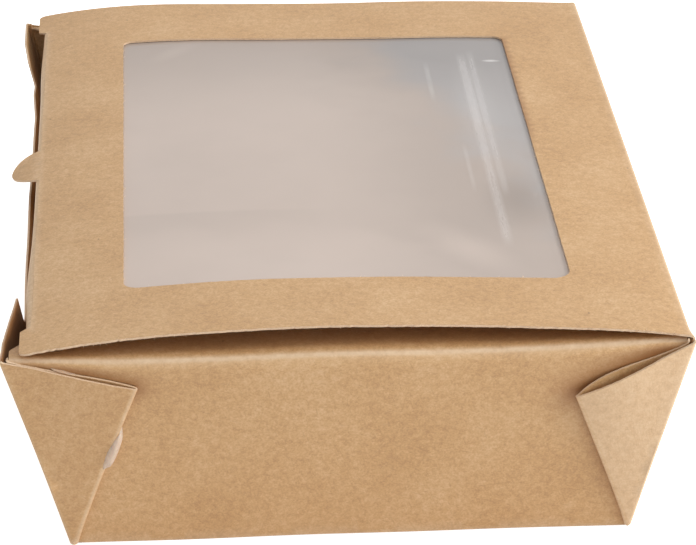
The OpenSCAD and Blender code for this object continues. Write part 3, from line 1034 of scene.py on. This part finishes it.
def side_strip(ears, wall_top, top_cut, wall_push, mirror, seed, painted_light):
    """Board part of one side wall with both of its web corners."""
    halves = [side_outline(wall_top, ears[1], top_cut), side_outline(wall_top, ears[0], top_cut)]
    line = halves[0] + [np.array([-p[0], p[1]]) for p in reversed(halves[1])]
    outline = frayed(spaced(line, 0.6)[::-1], FRAY, seed)
    sheet = flat_sheet(outline, creases=side_creases())

    def marks(t, v):
        c, p = from_corner(np.abs(t), v)
        across = diagonal(c, p)[1]
        # The worn folds also carry a painted highlight. The last term paints light on the outer web
        # layer: a highlight above zero, shade below it.
        folds = 0.35 * near(p, 0, 0.5) + 0.5 * near(across, 0.0, 0.4) + 0.4 * near(v, 0, 0.6)
        return folds + painted_light * (across > 0.3) * (p > -3)

    def waves(t, v):
        return 0.08 * np.sin(t / 19 + seed) * np.sin(v / 11 + 1) + 0.05 * np.sin(t / 6.7 + v / 8.3)

    def bend(t, v):
        place = bend_side_strip(t, v, ears, wall_push)
        if mirror:
            place[:, 0] *= -1
        return place

    def inner_shade(t, v):
        on_post = np.clip((-t - POST_START) / 5, 0, 1) * (t > -BASE_Y - v * math.tan(CORNER_ANGLE))
        depth = np.clip(0.5 + (SLANT - v) / 6, 0, 1)
        return -1.7 * mirror * on_post * depth * np.clip(v / SLANT, 0, 1) ** 2

    def foot(t, v):
        return v < -SIDE_TIGHT + 0.05

    return board_part(sheet, bend, marks, waves, hidden_edge=foot, top_marks=inner_shade)


# %% [markdown]
# The hinge wall is straight, because the lid's crease continues it. Its front ear stands off the
# wall and bows, as a glued corner does once the board springs back. Its back ear lies flatter.

# %% Hinge side
CREASE_DROP = 1.6
HINGE_EARS = [
    ear_shape(EAR_LEN_HINGE, stand=1.2, bow=1.5, crown=2.2, sag=0.9, narrow=0.95, corner_out=0.7),
    ear_shape(EAR_LEN_HINGE, stand=0.7, bow=1.0, crown=0.4),
]
NOTCH = 0.6
hinge_wall_top = (HEIGHT - BOARD / 2 - HALF) / math.cos(LEAN)


def hinge_top_cut(head):
    """Top edge of the hinge wall: lower where the lid's crease continues it."""
    low = head[1] - CREASE_DROP
    return [(0, low), (LID_D / 2 - NOTCH, low), (LID_D / 2 - NOTCH, head[1]), head]


def no_push(y, share):
    """The hinge wall stays straight."""
    return np.zeros_like(y)


# The last value paints a highlight on this side's web corners.
hinge_part = side_strip(HINGE_EARS, hinge_wall_top, hinge_top_cut, no_push, False, 21, 0.50)
print("hinge side:", len(hinge_part["points"]), "points")

# %% [markdown]
# The closing wall has a long low stretch in the middle, so that the tuck flap can slip in behind
# it. The full-height posts at its ends have sprung: each one bellies out near the corner and
# comes back in beside the cut.

# %% Closing side
CLOSING_EARS = [
    ear_shape(EAR_LEN_CLOSING, stand=0.4, bow=0.6, crown=0.5, sag=0.5, corner_out=0.5),
    ear_shape(EAR_LEN_CLOSING, stand=0.4, bow=0.8, crown=0.3),
]
POST_PLACES = [-100, -96, -91, -85, -79, -73, -66, -50, -30, 0, 30, 47, 62, 68, 83, 97, 100]
POST_PUSHES = [0.3, 0.55, 0.45, -0.1, -0.7, -1.35, -2.0, -1.8, -1.65, -1.4, -1.5, -1.6,
               -0.75, -1.0, 0.2, 0.4, 0.3]


def closing_top_cut(head):
    """Top edge of the closing wall, with its low middle."""
    post = head[0] - POST_LEN
    low = head[1] - RECESS_DEPTH / math.cos(LEAN)
    corner = corner_arc((0, low), (post, low), (post, head[1]), RECESS_R, 5)
    return [(0, low)] + [tuple(p) for p in corner] + [(post, head[1]), head]


def post_push(y, share):
    """How far the closing wall has sprung out, seen along its length."""
    return np.interp(y, POST_PLACES, POST_PUSHES) * share ** 1.4


# The last value paints shade on this side's web corners.
closing_part = side_strip(CLOSING_EARS, SLANT + 0.2, closing_top_cut, post_push, True, 22, -0.10)
print("closing side:", len(closing_part["points"]), "points")

# %% [markdown]
# On the real box these three strips are one sheet, so they join in one object. Use has settled
# it a little: its foot has spread, and the back corner of the closing side has slumped.

# %% Tray board
FOOT_PUSH_Y = 0.95
FOOT_PUSH_X = 0.68
FOOT_PULL_X = 0.8
CORNER_SLUMP_Y = 1.6
CORNER_SLUMP_Z = 0.55


def ramp(value, start, length):
    """Zero up to a start, one a length beyond it, and straight between."""
    return np.clip((value - start) / length, 0, 1)


def eased(share):
    """A share that starts and stops softly."""
    return share * share * (3 - 2 * share)


def settled(part):
    """The part with the tray's foot spread and one corner slumped."""
    points = part["points"]
    low = np.clip(1 - points[:, 2] / HEIGHT, 0, 1)
    front = ramp(-points[:, 1], start=58, length=28)
    hinge = ramp(points[:, 0], start=30, length=27)
    closing = ramp(-points[:, 0], start=30, length=27)
    points[:, 1] -= FOOT_PUSH_Y * low * eased(front)
    points[:, 0] += FOOT_PUSH_X * low * eased(hinge)
    points[:, 0] += FOOT_PULL_X * low * eased(closing)
    corner = ramp(-points[:, 0], start=52, length=16) * ramp(points[:, 1], start=76, length=22)
    corner = corner * np.clip(points[:, 2] / HEIGHT, 0, 1) ** 2
    points[:, 1] -= CORNER_SLUMP_Y * corner
    points[:, 2] -= CORNER_SLUMP_Z * corner
    return part


tray_parts = [settled(part) for part in (strip_part, hinge_part, closing_part)]
tray_board = board_object("carton_tray_board", tray_parts, [kraft_face, kraft_edge])
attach(tray_board, "tray")
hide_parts("carton_tray")

# %% [markdown]
# The lid is a shallow bow, sprung between its hinge crease and the tuck fold, with its highest
# line nearer the tuck. The tongue and the two shoulders lie in the bow, while the tuck flap
# leaves it at the fold and runs down inside the closing wall.

# %% Shape of the lid
LID_STOP = HINGE_X - 2.2
FOLD_X = TUCK_X + 0.3
CURVE_SCALE = 70
LID_PLACES = [-65, -50, -35, -20, 0, 20, 40, 55, 70]
FRONT_HEIGHTS = [48.95, 51.25, 52.5, 53.1, 53.15, 52.6, 51.6, 50.45, 48.55]
BACK_HEIGHTS = [48.45, 50.3, 50.8, 50.6, 50.15, 49.95, 49.65, 49.05, 48.35]
front_curve = np.polyfit(np.array(LID_PLACES) / CURVE_SCALE, FRONT_HEIGHTS, 6)
back_curve = np.polyfit(np.array(LID_PLACES) / CURVE_SCALE, BACK_HEIGHTS, 6)
middle_curve = front_curve * 0.5 + back_curve * 0.5

SLOPE_SHARE = 0.01
tuck_share = TUCK_X / CURVE_SCALE
tuck_rise = np.polyval(middle_curve, tuck_share + SLOPE_SHARE) - np.polyval(middle_curve, tuck_share)
tuck_slope = tuck_rise / (SLOPE_SHARE * CURVE_SCALE)
print(f"at the tuck the lid rises by {tuck_slope:.2f} for each mm")


def lid_height(x, y):
    """Height of the lid's middle surface."""
    toward_back = np.clip((y - LID_FRONT) / (LID_BACK - LID_FRONT), 0, 1)
    within = np.clip(x, TUCK_X, HINGE_X) / CURVE_SCALE
    front = np.polyval(front_curve, within)
    back = np.polyval(back_curve, within)
    bow = front + (back - front) * toward_back
    beyond = np.minimum(x - TUCK_X, 0) * tuck_slope
    settle = (HINGE_Z - bow) * np.exp(-np.clip(HINGE_X - x, 0, None) / 1.2)
    return bow + beyond + settle


def bend_lid(x, y):
    """Place of a flat point of the lid, its shoulders and its tongue."""
    droop = 0.03 * np.clip(FOLD_X - x, 0, None) ** 2 * near(y, TONGUE_Y, 14)
    return np.column_stack([x, y, lid_height(x, y) - droop])


# %% Outlines on the lid
TONGUE_EXTRA = 0.4
WINDOW_SIDES = [(-1, -1), (1, -1), (1, 1), (-1, 1)]
WINDOW_DRIFTS = [(0, -0.85), (-0.25, -0.75), (-0.25, 0.55), (0, 0.5)]
WINDOW_ROUNDS = [1.5, 2.0, 1.15, 1.0]


def window_outline(margin, radius, gap=0.6):
    """Rounded outline of the window, grown by a margin. Its cut has drifted a little."""
    half_w, half_d = WINDOW_W / 2 + margin, WINDOW_D / 2 + margin
    points = []
    for (across, along), (drift_x, drift_y) in zip(WINDOW_SIDES, WINDOW_DRIFTS):
        points.append((WINDOW_X + (across * half_w + drift_x), WINDOW_Y + (along * half_d + drift_y)))
    return spaced(rounded(points, [share * radius for share in WINDOW_ROUNDS]), gap)


def tongue_points():
    """Outline of the tongue where it stands out from the fold, from back to front."""
    length = TONGUE_LEN + TONGUE_EXTRA + FOLD_X - TUCK_X
    centre = FOLD_X + TONGUE_R - length
    half = math.acos((TONGUE_R - length) / TONGUE_R)
    angles = np.linspace(math.pi - half, math.pi + half, 25)
    return [(centre + TONGUE_R * math.cos(a), TONGUE_Y + TONGUE_R * math.sin(a)) for a in angles]


def lid_waves(x, y):
    """Gentle unevenness of a large free sheet."""
    still = 1 - np.exp(-np.clip(LID_STOP - x, 0, None) / 9)
    return still * (0.13 * np.sin(y / 31 + 0.6) * np.sin((x - TUCK_X) / 43)
                    + 0.06 * np.sin(x / 13 + y / 19) + 0.03 * np.sin(x / 5.1 - y / 6.3))


def lid_outline():
    """Outline of the lid panel with its shoulders and tongue, frayed along the front."""
    left = TUCK_X - SHOULDER_W
    tuck_front = LID_FRONT + SHOULDER_LEN
    tuck_back = LID_BACK - SHOULDER_LEN
    front = spaced([(left + LID_R, LID_FRONT), (LID_STOP, LID_FRONT)], 0.45, closed=False)
    front = [tuple(p) for p in frayed(front, 0.075, 5, bite=0.09)[1:-1]]
    tongue = tongue_points()
    points = [(LID_STOP, LID_FRONT), (LID_STOP, LID_BACK), (left, LID_BACK), (left, tuck_back),
              (FOLD_X, tuck_back - SHOULDER_W), *tongue,
              (FOLD_X, tuck_front + SHOULDER_W), (left, tuck_front), (left, LID_FRONT)]
    radii = [0, 0, LID_R, 0.5, 0.3] + [0] * len(tongue) + [0.3, 0.5, LID_R]
    return spaced(rounded(points, radii) + front, EDGE_GAP)


# %% Lid panel as board
LID_SHEET_GAP = 2.0


def lid_marks(x, y):
    """Worn tuck fold with a painted highlight, and painted shade on the window's cut nearest the hinge.
    """
    right_cut = near(x, WINDOW_X + WINDOW_W / 2 - 0.1, 0.5) * np.clip((y + 5) / 20, 0, 1)
    right_cut = right_cut * (y < WINDOW_D / 2 + 1)
    return 0.35 * near(x, FOLD_X - 0.2, 0.9) * (np.abs(y) < 88) - 0.8 * right_cut


def lid_joins(x, y):
    """True where the lid panel goes on into the crease or the tuck flap."""
    return (x > LID_STOP - 0.05) | (np.abs(x - FOLD_X) < 0.01)


def lid_part():
    """Board part of the lid panel."""
    window = frayed(window_outline(0, WINDOW_R), 0.03, 8)
    folds = [fold_line((x, LID_FRONT - 1), (x, LID_BACK + 1)) for x in (FOLD_X + 0.5, FOLD_X + 1.2)]
    sheet = flat_sheet(lid_outline(), [window], folds, LID_SHEET_GAP)
    return board_part(sheet, bend_lid, lid_marks, lid_waves, hidden_edge=lid_joins)


# %% [markdown]
# The tuck flap hangs from the lid behind the low part of the closing wall. It is a sheet of its
# own here, because the tongue is cut out of it and stays in the lid's plane when the flap folds.

# %% Tuck flap
def tuck_radius(y):
    """Radius of the tuck fold, softer away from the tongue and the ends."""
    return 0.7 + 0.9 * near(y, -66, 20) + 0.4 * near(y, 62, 16)


def bend_tuck(d, y):
    """Place of a flat point of the tuck flap, at a distance beyond the fold's start."""
    radius = tuck_radius(y)
    start = lid_height(np.full_like(y, FOLD_X), y)
    slope = np.arctan((lid_height(np.full_like(y, FOLD_X + 0.1), y) - start) / 0.1)
    turn = math.pi / 2 + TUCK_LEAN - slope
    turned = np.clip(d / radius, 0, turn)
    straight = np.clip(d - radius * turn, 0, None)
    heading = slope + turned
    centre_x = FOLD_X + radius * np.sin(slope)
    centre_z = start - radius * np.cos(slope)
    x = centre_x - radius * np.sin(heading)
    z = centre_z + radius * np.cos(heading)
    x = x - straight * np.cos(heading)
    z = z - straight * np.sin(heading)
    before = np.clip(d, None, 0)
    return np.column_stack([x - before * np.cos(slope), y, z - before * np.sin(slope)])


def tuck_part():
    """Board part of the tuck flap, with the bay that the tongue was cut from."""
    tuck_front = LID_FRONT + SHOULDER_LEN + SHOULDER_W
    tuck_back = LID_BACK - SHOULDER_LEN - SHOULDER_W
    length = TUCK_LEN + 1
    points = [(0, tuck_front), (2.5, tuck_front + 0.15), (length, tuck_front + TUCK_R / 2),
              (length, tuck_back - TUCK_R / 2), (2.5, tuck_back - 0.15), (0, tuck_back)]
    radii = [0, 0, TUCK_R, TUCK_R, 0, 0]
    tongue = [(FOLD_X - x, y) for x, y in tongue_points()]
    line = rounded(points + tongue, radii + [0] * len(tongue))
    outline = frayed(spaced(line, 0.7), 0.02, 9)
    outline = [np.array([max(p[0], 0.0), p[1]]) for p in outline]
    rows = [fold_line((d, tuck_front - 1), (d, tuck_back + 1)) for d in np.linspace(0.3, 4.2, 12)]
    sheet = flat_sheet(outline, creases=rows, gap=LID_SHEET_GAP)

    def marks(d, y):
        # Worn tuck fold with a painted highlight.
        return 0.5 * near(d, 0.6, 1.2)

    def join(d, y):
        return d < 0.01

    return board_part(sheet, bend_tuck, marks, hidden_edge=join)


lid_board = board_object("carton_lid_board", [lid_part(), tuck_part()], [kraft_face, kraft_edge])
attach(lid_board, "lid")
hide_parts("carton_lid")

# %% [markdown]
# The crease between the hinge wall and the lid bends when the lid opens. It is a narrow strip of
# the same board with a small round at its middle.

# %% Lid crease
CREASE_ROUND = 0.9


def bend_crease(q, y):
    """Place of a flat point of the crease strip: q is negative on the lid, positive on the wall."""
    lid_x = HINGE_X - np.clip(-q, 0, None)
    lid_z = lid_height(lid_x, y)
    wall_q = np.clip(q, 0, None)
    x = np.where(q < 0, lid_x, HINGE_X - wall_q * math.sin(LEAN))
    z = np.where(q < 0, lid_z, HINGE_Z - wall_q * math.cos(LEAN))
    share = np.clip((q + CREASE_ROUND) / (2 * CREASE_ROUND), 0, 1)
    start_x = HINGE_X - CREASE_ROUND
    start_z = lid_height(np.full_like(q, start_x), y)
    end_x = HINGE_X - CREASE_ROUND * math.sin(LEAN)
    end_z = HINGE_Z - CREASE_ROUND * math.cos(LEAN)
    round_x = (1 - share) ** 2 * start_x + 2 * share * (1 - share) * HINGE_X + share ** 2 * end_x
    round_z = (1 - share) ** 2 * start_z + 2 * share * (1 - share) * HINGE_Z + share ** 2 * end_z
    within = np.abs(q) < CREASE_ROUND
    flare = HINGE_EARS[0]["corner_out"] * near(y, -TOP_D / 2, CORNER_REACH) * np.clip(1 + q / 2.2, 0, 1)
    x = np.where(within, round_x, x) + flare
    return np.column_stack([x, y, np.where(within, round_z, z)])


crease_bottom = (HINGE_Z - HALF - (hinge_wall_top - CREASE_DROP) * math.cos(LEAN)) / math.cos(LEAN)
crease_top = LID_STOP - HINGE_X


def crease_marks(q, y):
    """Worn ridge of the crease, with a painted highlight."""
    return 0.6 * near(q, 0, 0.8)


def crease_joins(q, y):
    """True where the strip goes on into the lid or the wall."""
    return (q < crease_top + 0.02) | (q > crease_bottom - 0.02)


def crease_part():
    """Board part of the lid crease."""
    line = [(crease_top, LID_FRONT), (crease_bottom, LID_FRONT),
            (crease_bottom, LID_BACK), (crease_top, LID_BACK)]
    across = np.linspace(-CREASE_ROUND, CREASE_ROUND, 9)
    rows = [fold_line((q, LID_FRONT - 1), (q, LID_BACK + 1)) for q in across]
    sheet = flat_sheet(spaced(line, EDGE_GAP), creases=rows, gap=LID_SHEET_GAP)
    part = board_part(sheet, bend_crease, crease_marks, hidden_edge=crease_joins)
    part["sheet"][:, 0] += HINGE_X
    return part


lid_crease = board_object("lid_crease", [crease_part()], [kraft_face, kraft_edge])
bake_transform(lid_crease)

# %% [markdown]
# The window film is thin clear plastic, glued under the lid's border. Handling has left it hazy:
# the inside of the box shows through it as a pale grey veil, warmer at the front and cooler near
# the hinge, with a few scuffed streaks. The veil's colour also carries painted shade and painted
# highlights. Haze is alpha here, because so thin a film hardly bends the light that passes
# through it.

# %% Film material
# The veils are mixed between their dark and light colours by painted light and shade; the mark colour
# serves the scuffs, the pale band and a painted glint.
FILM_WARM = (0.82, 0.68, 0.595, 1)
FILM_DARK = (0.485, 0.40, 0.345, 1)
FILM_COOL = (0.735, 0.69, 0.675, 1)
FILM_COOL_DARK = (0.455, 0.42, 0.405, 1)
FILM_SCUFF_AND_GLINT = (0.96, 0.92, 0.90, 1)
STREAK_X = 36.7
STREAKS = [(0, 1.6, 64, -58, 1), (2.3, 1.2, 66, -30, 0.75),
           (-9, 0.9, 58, 28, 0.7), (-4.5, 0.7, 4, -28, 0.6)]
THREAD_STRETCH = (0.6, 5.0)


def spot(tree, place, centre, size, turn=0.0):
    """Soft oval mask on the sheet: one at its centre, zero at its rim."""
    moved = placed(tree, place, size, turn, centre)
    far = add_node(tree, "ShaderNodeVectorMath", {0: moved}, operation="LENGTH")
    return levels(tree, far.outputs["Value"], 1, 0, 0, 1, True)


def streak(tree, x, y, offset, half_width, first, last, weight):
    """Mask of one straight streak along the film, fading at both ends."""
    away = maths(tree, "ABSOLUTE", maths(tree, "SUBTRACT", x, STREAK_X + offset))
    ends = times(tree, levels(tree, y, first, first - 8, 0, 1, True),
                 levels(tree, y, last, last + 10, 0, 1, True))
    return times(tree, levels(tree, away, half_width, 0.2 * half_width, 0, weight, True), ends)


def film_tone_and_painted_light(tree, sheet, cloud, flat_x, flat_y, x, y):
    """How light the film's veil is, from zero to one: painted light and shade with some random cloud."""
    seam = times(tree, levels(tree, flat_y, -34.2, -35.6, 0, 1), levels(tree, x, 12, -30, 0, 1, True))
    seam = times(tree, seam, levels(tree, y, -52, -38, 0, 1, True))
    # Painted shade darkens the veil towards the back and the right and in a spot by the front right
    # corner. Painted highlights lift it beside that spot, in a narrow patch at the back left and along
    # the window's right edge, where the lid's shade falls on the film.
    return weighted(tree, 0.77, [
        (levels(tree, y, 18, 78, 0, 1, True), -0.50),
        (levels(tree, y, -42, -58, 0, 1, True), 0.10),
        (levels(tree, x, -6, 36, 0, 1, True), -0.40),
        (spot(tree, sheet, (41.5, -30), (11, 22)), -0.36),
        (spot(tree, sheet, (28, -57), (8.5, 21), 0.55), 0.26),
        (spot(tree, sheet, (-33, 66), (4, 12), -0.7), 0.12),
        (levels(tree, cloud, 0.3, 0.7, -1, 1), 0.04),
        (seam, -0.10),
        (levels(tree, flat_x, 45.5, 48.2, 0, 1, True), 0.25),
    ])


def film_scuffs_and_glint(tree, sheet, flat_x, flat_y):
    """Scuffed streaks, the pale band behind them and one small painted glint."""
    lines = [streak(tree, flat_x, flat_y, *values) for values in STREAKS]
    scuff = maths(tree, "MAXIMUM", maths(tree, "MAXIMUM", lines[0], lines[1]),
                  maths(tree, "MAXIMUM", lines[2], lines[3]))
    threads = noise(tree, sheet, 1.0, 2, 0.5, stretch=THREAD_STRETCH, turn=0.02, shift=7)
    return weighted(tree, 0, [
        (times(tree, scuff, levels(tree, threads, 0.3, 0.7, 0.6, 1)), 0.26),
        (spot(tree, sheet, (37.5, 26), (6.5, 46)), 0.13),
        # A painted glint.
        (spot(tree, sheet, (43.8, 57.5), (3.0, 1.1)), 0.75),
    ])


def film_material():
    """Thin hazy film: warm over the box, cooler and scuffed towards the hinge, with painted light and
    shade.
    """
    material, tree, shader = new_material("window_film_haze")
    sheet = attribute(tree, "sheet", "Vector")
    axes = add_node(tree, "ShaderNodeSeparateXYZ", {"Vector": sheet}).outputs
    cloud = noise(tree, sheet, 0.05, 2, 0.5)
    drift = levels(tree, cloud, 0.3, 0.7, -5, 5)
    x = maths(tree, "ADD", axes["X"], drift)
    y = maths(tree, "ADD", axes["Y"], drift)
    veil_light_and_tone = film_tone_and_painted_light(tree, sheet, cloud, axes["X"], axes["Y"], x, y)
    marks = film_scuffs_and_glint(tree, sheet, axes["X"], axes["Y"])
    cool = levels(tree, weighted(tree, x, [(y, 0.35)]), 28, 50, 0, 1, True)
    warm_veil = mixed(tree, veil_light_and_tone, FILM_DARK, FILM_WARM)
    cool_veil = mixed(tree, veil_light_and_tone, FILM_COOL_DARK, FILM_COOL)
    colour = mixed(tree, marks, mixed(tree, cool, warm_veil, cool_veil), FILM_SCUFF_AND_GLINT)
    haze = weighted(tree, 0.72, [(veil_light_and_tone, 0.05), (marks, 0.15)])
    rough = levels(tree, marks, 0, 1, 0.24, 0.42)
    wire(tree, shader, {"Base Color": colour, "Alpha": haze, "Roughness": rough, "IOR": 1.46})
    return material


film_haze = film_material()
print("film material:", film_haze.name)

# %% [markdown]
# The film is one sheet a little larger than the window. It lies against the lid's underside
# where it is glued and hangs loose in the middle, so it has soft ripples, which bend the
# reflections in it.

# %% Film sheet
FILM_DROP = 0.16
RIPPLE = 0.25


def bend_film(x, y):
    """Place of a flat point of the film, under the lid."""
    inner_x = np.clip(1 - np.abs(x - WINDOW_X) / (WINDOW_W / 2), 0, 1)
    inner_y = np.clip(1 - np.abs(y - WINDOW_Y) / (WINDOW_D / 2), 0, 1)
    free = np.clip(inner_x * inner_y * 8, 0, 1)
    ripple = 0.22 * np.sin(x / 9 + y / 37) + 0.14 * np.sin(y / 12 - x / 30) + 0.3 * np.sin(x / 21 + 2)
    drop = HALF + GLUE_LINE + FILM / 2 + free * (FILM_DROP + RIPPLE * ripple)
    lid = lid_height(x, y) + lid_waves(x, y)
    return np.column_stack([x, y, lid - drop])


film_sheet = flat_sheet(window_outline(FILM_MARGIN, radius=3, gap=2.0))
film_part = board_part(film_sheet, bend_film, thickness=FILM)
film = board_object("window_film_sheet", [film_part], [film_haze, film_haze])
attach(film, "lid")
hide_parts("window_film")

# %% [markdown]
# Glue holds the web corners. Three spots stay hidden between the layers. At the front corner
# beside the closing wall the glue was squeezed out: a thick bead lies along the diagonal fold,
# and a thin one sits on the ear's top edge. Dried glue is milky, so a little light goes into it.

# %% Glue material
GLUE_DARK = (0.62, 0.47, 0.36, 1)
GLUE_LIGHT = (0.75, 0.60, 0.48, 1)
GLUE_DULL = (0.60, 0.38, 0.24, 1)


def glue_material():
    """Milky dried glue."""
    material, tree, shader = new_material("dried_glue_milky")
    cloud = noise(tree, attribute(tree, "sheet", "Vector"), 0.8, 3, 0.6)
    colour = mixed(tree, levels(tree, cloud, 0.3, 0.7, 0, 1), GLUE_DARK, GLUE_LIGHT)
    colour = mixed(tree, attribute(tree, "crease", "Fac"), colour, GLUE_DULL)
    relief = add_node(tree, "ShaderNodeBump", {"Strength": 0.4, "Distance": 0.0002, "Height": cloud})
    wire(tree, shader, {"Base Color": colour, "Roughness": levels(tree, cloud, 0.3, 0.7, 0.45, 0.3),
                        "Normal": relief.outputs["Normal"], "Subsurface Weight": 0.6,
                        "Subsurface Radius": (1.0, 0.8, 0.6), "Subsurface Scale": 0.0015})
    return material


glue_milky = glue_material()
print("glue material:", glue_milky.name)

# %% Shape of a bead
BEAD_RINGS = 5
BEAD_TURNS = 26
BEAD_SINK = 0.02


def on_strip_wall(x, u, out, back):
    """Place on the outer face of the front or back wall: along it, up the slant, and out."""
    swell = across_bulge(x) * np.clip(u / SLANT, 0, 1) ** BULGE_POWER
    swell = swell * (BACK_BULGE if back else FRONT_BULGE)
    side = 1.0 if back else -1.0
    y = BASE_Y - (2 * LAYER - HALF) / math.cos(LEAN) + u * math.sin(LEAN) + out * math.cos(LEAN) + swell
    return np.column_stack([x, side * y, HALF + u * math.cos(LEAN) - out * math.sin(LEAN)])


def bead_faces(count):
    """Faces of a bead: its two sides ring by ring, and the rim between them."""
    faces = []
    for i in range(BEAD_TURNS):
        j = (i + 1) % BEAD_TURNS
        for ring in range(BEAD_RINGS):
            a, b = ring * BEAD_TURNS + i, ring * BEAD_TURNS + j
            c, d = a + BEAD_TURNS, b + BEAD_TURNS
            faces += [(a, c, d, b), (count + a, count + b, count + d, count + c)]
        last = BEAD_RINGS * BEAD_TURNS
        faces.append((last + i, count + last + i, count + last + j, last + j))
    return faces


def glue_bead(centre, turn, half_length, half_width, thickness, back=False, dull=0.0):
    """Lens of glue on a wall, with its flat side down."""
    direction = np.array([math.cos(turn), math.sin(turn)])
    across = np.array([-direction[1], direction[0]])
    flat = []
    for share in np.arange(BEAD_RINGS + 1) / BEAD_RINGS:
        for angle in 2 * math.pi * np.arange(BEAD_TURNS) / BEAD_TURNS:
            wobble = 1 + 0.07 * math.sin(3 * angle + 1) + 0.05 * math.sin(5 * angle)
            reach = direction * math.cos(angle) * half_length + across * math.sin(angle) * half_width
            place = np.array(centre) + reach * share * wobble
            flat.append((place[0], place[1], thickness * (1 - share ** 2) ** 0.6))
    flat = np.array(flat)
    top = on_strip_wall(flat[:, 0], flat[:, 1], flat[:, 2] + BEAD_SINK, back)
    bottom = on_strip_wall(flat[:, 0], flat[:, 1], np.full(len(flat), -BEAD_SINK), back)
    faces = bead_faces(len(flat))
    if back:
        faces = [tuple(reversed(face)) for face in faces]
    return {"points": np.concatenate([top, bottom]), "faces": faces, "kinds": [0] * len(faces),
            "sheet": np.concatenate([flat, flat]), "crease": np.full(2 * len(flat), dull)}


# %% Glue spots
FOLD_TURN = math.pi / 2 + math.pi / 4 - 2 * CORNER_ANGLE
HIDDEN = {"half_length": 4.6, "half_width": 2.6, "thickness": 0.10}
beads = [
    glue_bead((-49.05, 25.3), 1.185, half_length=6.1, half_width=1.35, thickness=2.25),
    glue_bead((-58.0, 45.9), -0.29, half_length=2.7, half_width=0.35, thickness=0.7, dull=0.9),
    glue_bead((50.5, 33), FOLD_TURN, **HIDDEN),
    glue_bead((50.5, 33), FOLD_TURN, back=True, **HIDDEN),
    glue_bead((-50.5, 33), -FOLD_TURN, back=True, **HIDDEN),
]
glue = board_object("glue_dried", [settled(bead) for bead in beads], [glue_milky])
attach(glue, "tray")
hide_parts("glue_spots")

# %% [markdown]
# Die cutting leaves torn fibres on the edges of kraft board. Each one is a thin bent spike with
# three sides. They stand along the lid's front edge and round the window, where they catch light.

# %% Shape of a fibre
FIBRE_SECTIONS = [(0.0, 1.0), (0.55, 0.8), (1.0, 0.15)]
FIBRE_TURNS = [0, 2.09, 4.19]
FIBRE_LIFT = 0.35
UP = np.array([0, 0, 1.0])


def fibre(root, direction, lift, length, thickness):
    """Thin bent spike with three sides."""
    direction = direction / np.linalg.norm(direction)
    sideways = np.cross(direction, lift)
    sideways /= np.linalg.norm(sideways)
    points = []
    for share, width in FIBRE_SECTIONS:
        middle = root + direction * length * share + lift * length * FIBRE_LIFT * share ** 2
        for turn in FIBRE_TURNS:
            spoke = sideways * math.cos(turn) + lift * math.sin(turn)
            points.append(middle + thickness * width * spoke)
    faces = [(0, 2, 1), (6, 7, 8)]
    for ring in (0, 3):
        for i in range(3):
            j = (i + 1) % 3
            faces.append((ring + i, ring + j, ring + 3 + j, ring + 3 + i))
    points = np.array(points)
    return {"points": points, "faces": faces, "kinds": [0] * len(faces),
            "sheet": points.copy(), "crease": np.full(len(points), 0.5)}


# %% Fibres on the cut edges
FRONT_FIBRES = 150
CORNER_FIBRES = 16
WINDOW_FIBRES = 110
CUT_INSET = 0.05


def on_lid(x, y):
    """Place of one flat point of the lid."""
    return bend_lid(np.array([x]), np.array([y]))[0]


def front_fibre(rng):
    """One fibre anywhere along the front edge."""
    root = on_lid(rng.uniform(TUCK_X + 2, HINGE_X - 4), LID_FRONT + CUT_INSET)
    root[2] += rng.uniform(-HALF, HALF) * 0.8
    heading = np.array([rng.normal(0, 1.0), -1.0, rng.normal(0, 0.4)])
    lift = UP * rng.choice([-1.0, 1.0])
    return fibre(root, heading, lift, rng.uniform(0.3, 0.9), rng.uniform(0.03, 0.06))


def corner_fibre(rng):
    """One longer fibre near the torn end of the hinge crease."""
    root = on_lid(rng.uniform(HINGE_X - 12, HINGE_X - 3), LID_FRONT + CUT_INSET)
    heading = np.array([rng.normal(0.6, 0.5), -1.0, rng.normal(0.3, 0.3)])
    return fibre(root, heading, UP, rng.uniform(0.6, 1.4), rng.uniform(0.06, 0.1))


def window_fibre(rng, loop):
    """One fibre that points into the window from its edge."""
    x, y = loop[rng.integers(len(loop))]
    root = on_lid(x, y)
    root[2] += rng.uniform(-HALF, HALF) * 0.8
    inwards = np.array([WINDOW_X - x, WINDOW_Y - y, 0])
    on_side = abs(inwards[0]) / WINDOW_W > abs(inwards[1]) / WINDOW_D
    inwards[1 if on_side else 0] = 0
    heading = inwards / np.linalg.norm(inwards) + rng.normal(0, 0.6, 3) * np.array([1, 1, 0.3])
    return fibre(root, heading, UP, rng.uniform(0.25, 0.8), rng.uniform(0.03, 0.05))


rng = np.random.default_rng(3)
window_loop = window_outline(0, WINDOW_R, 1.0)
spikes = [front_fibre(rng) for _ in range(FRONT_FIBRES)]
spikes += [corner_fibre(rng) for _ in range(CORNER_FIBRES)]
spikes += [window_fibre(rng, window_loop) for _ in range(WINDOW_FIBRES)]
fibres = board_object("paper_fibres", spikes, [kraft_edge])
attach(fibres, "lid")
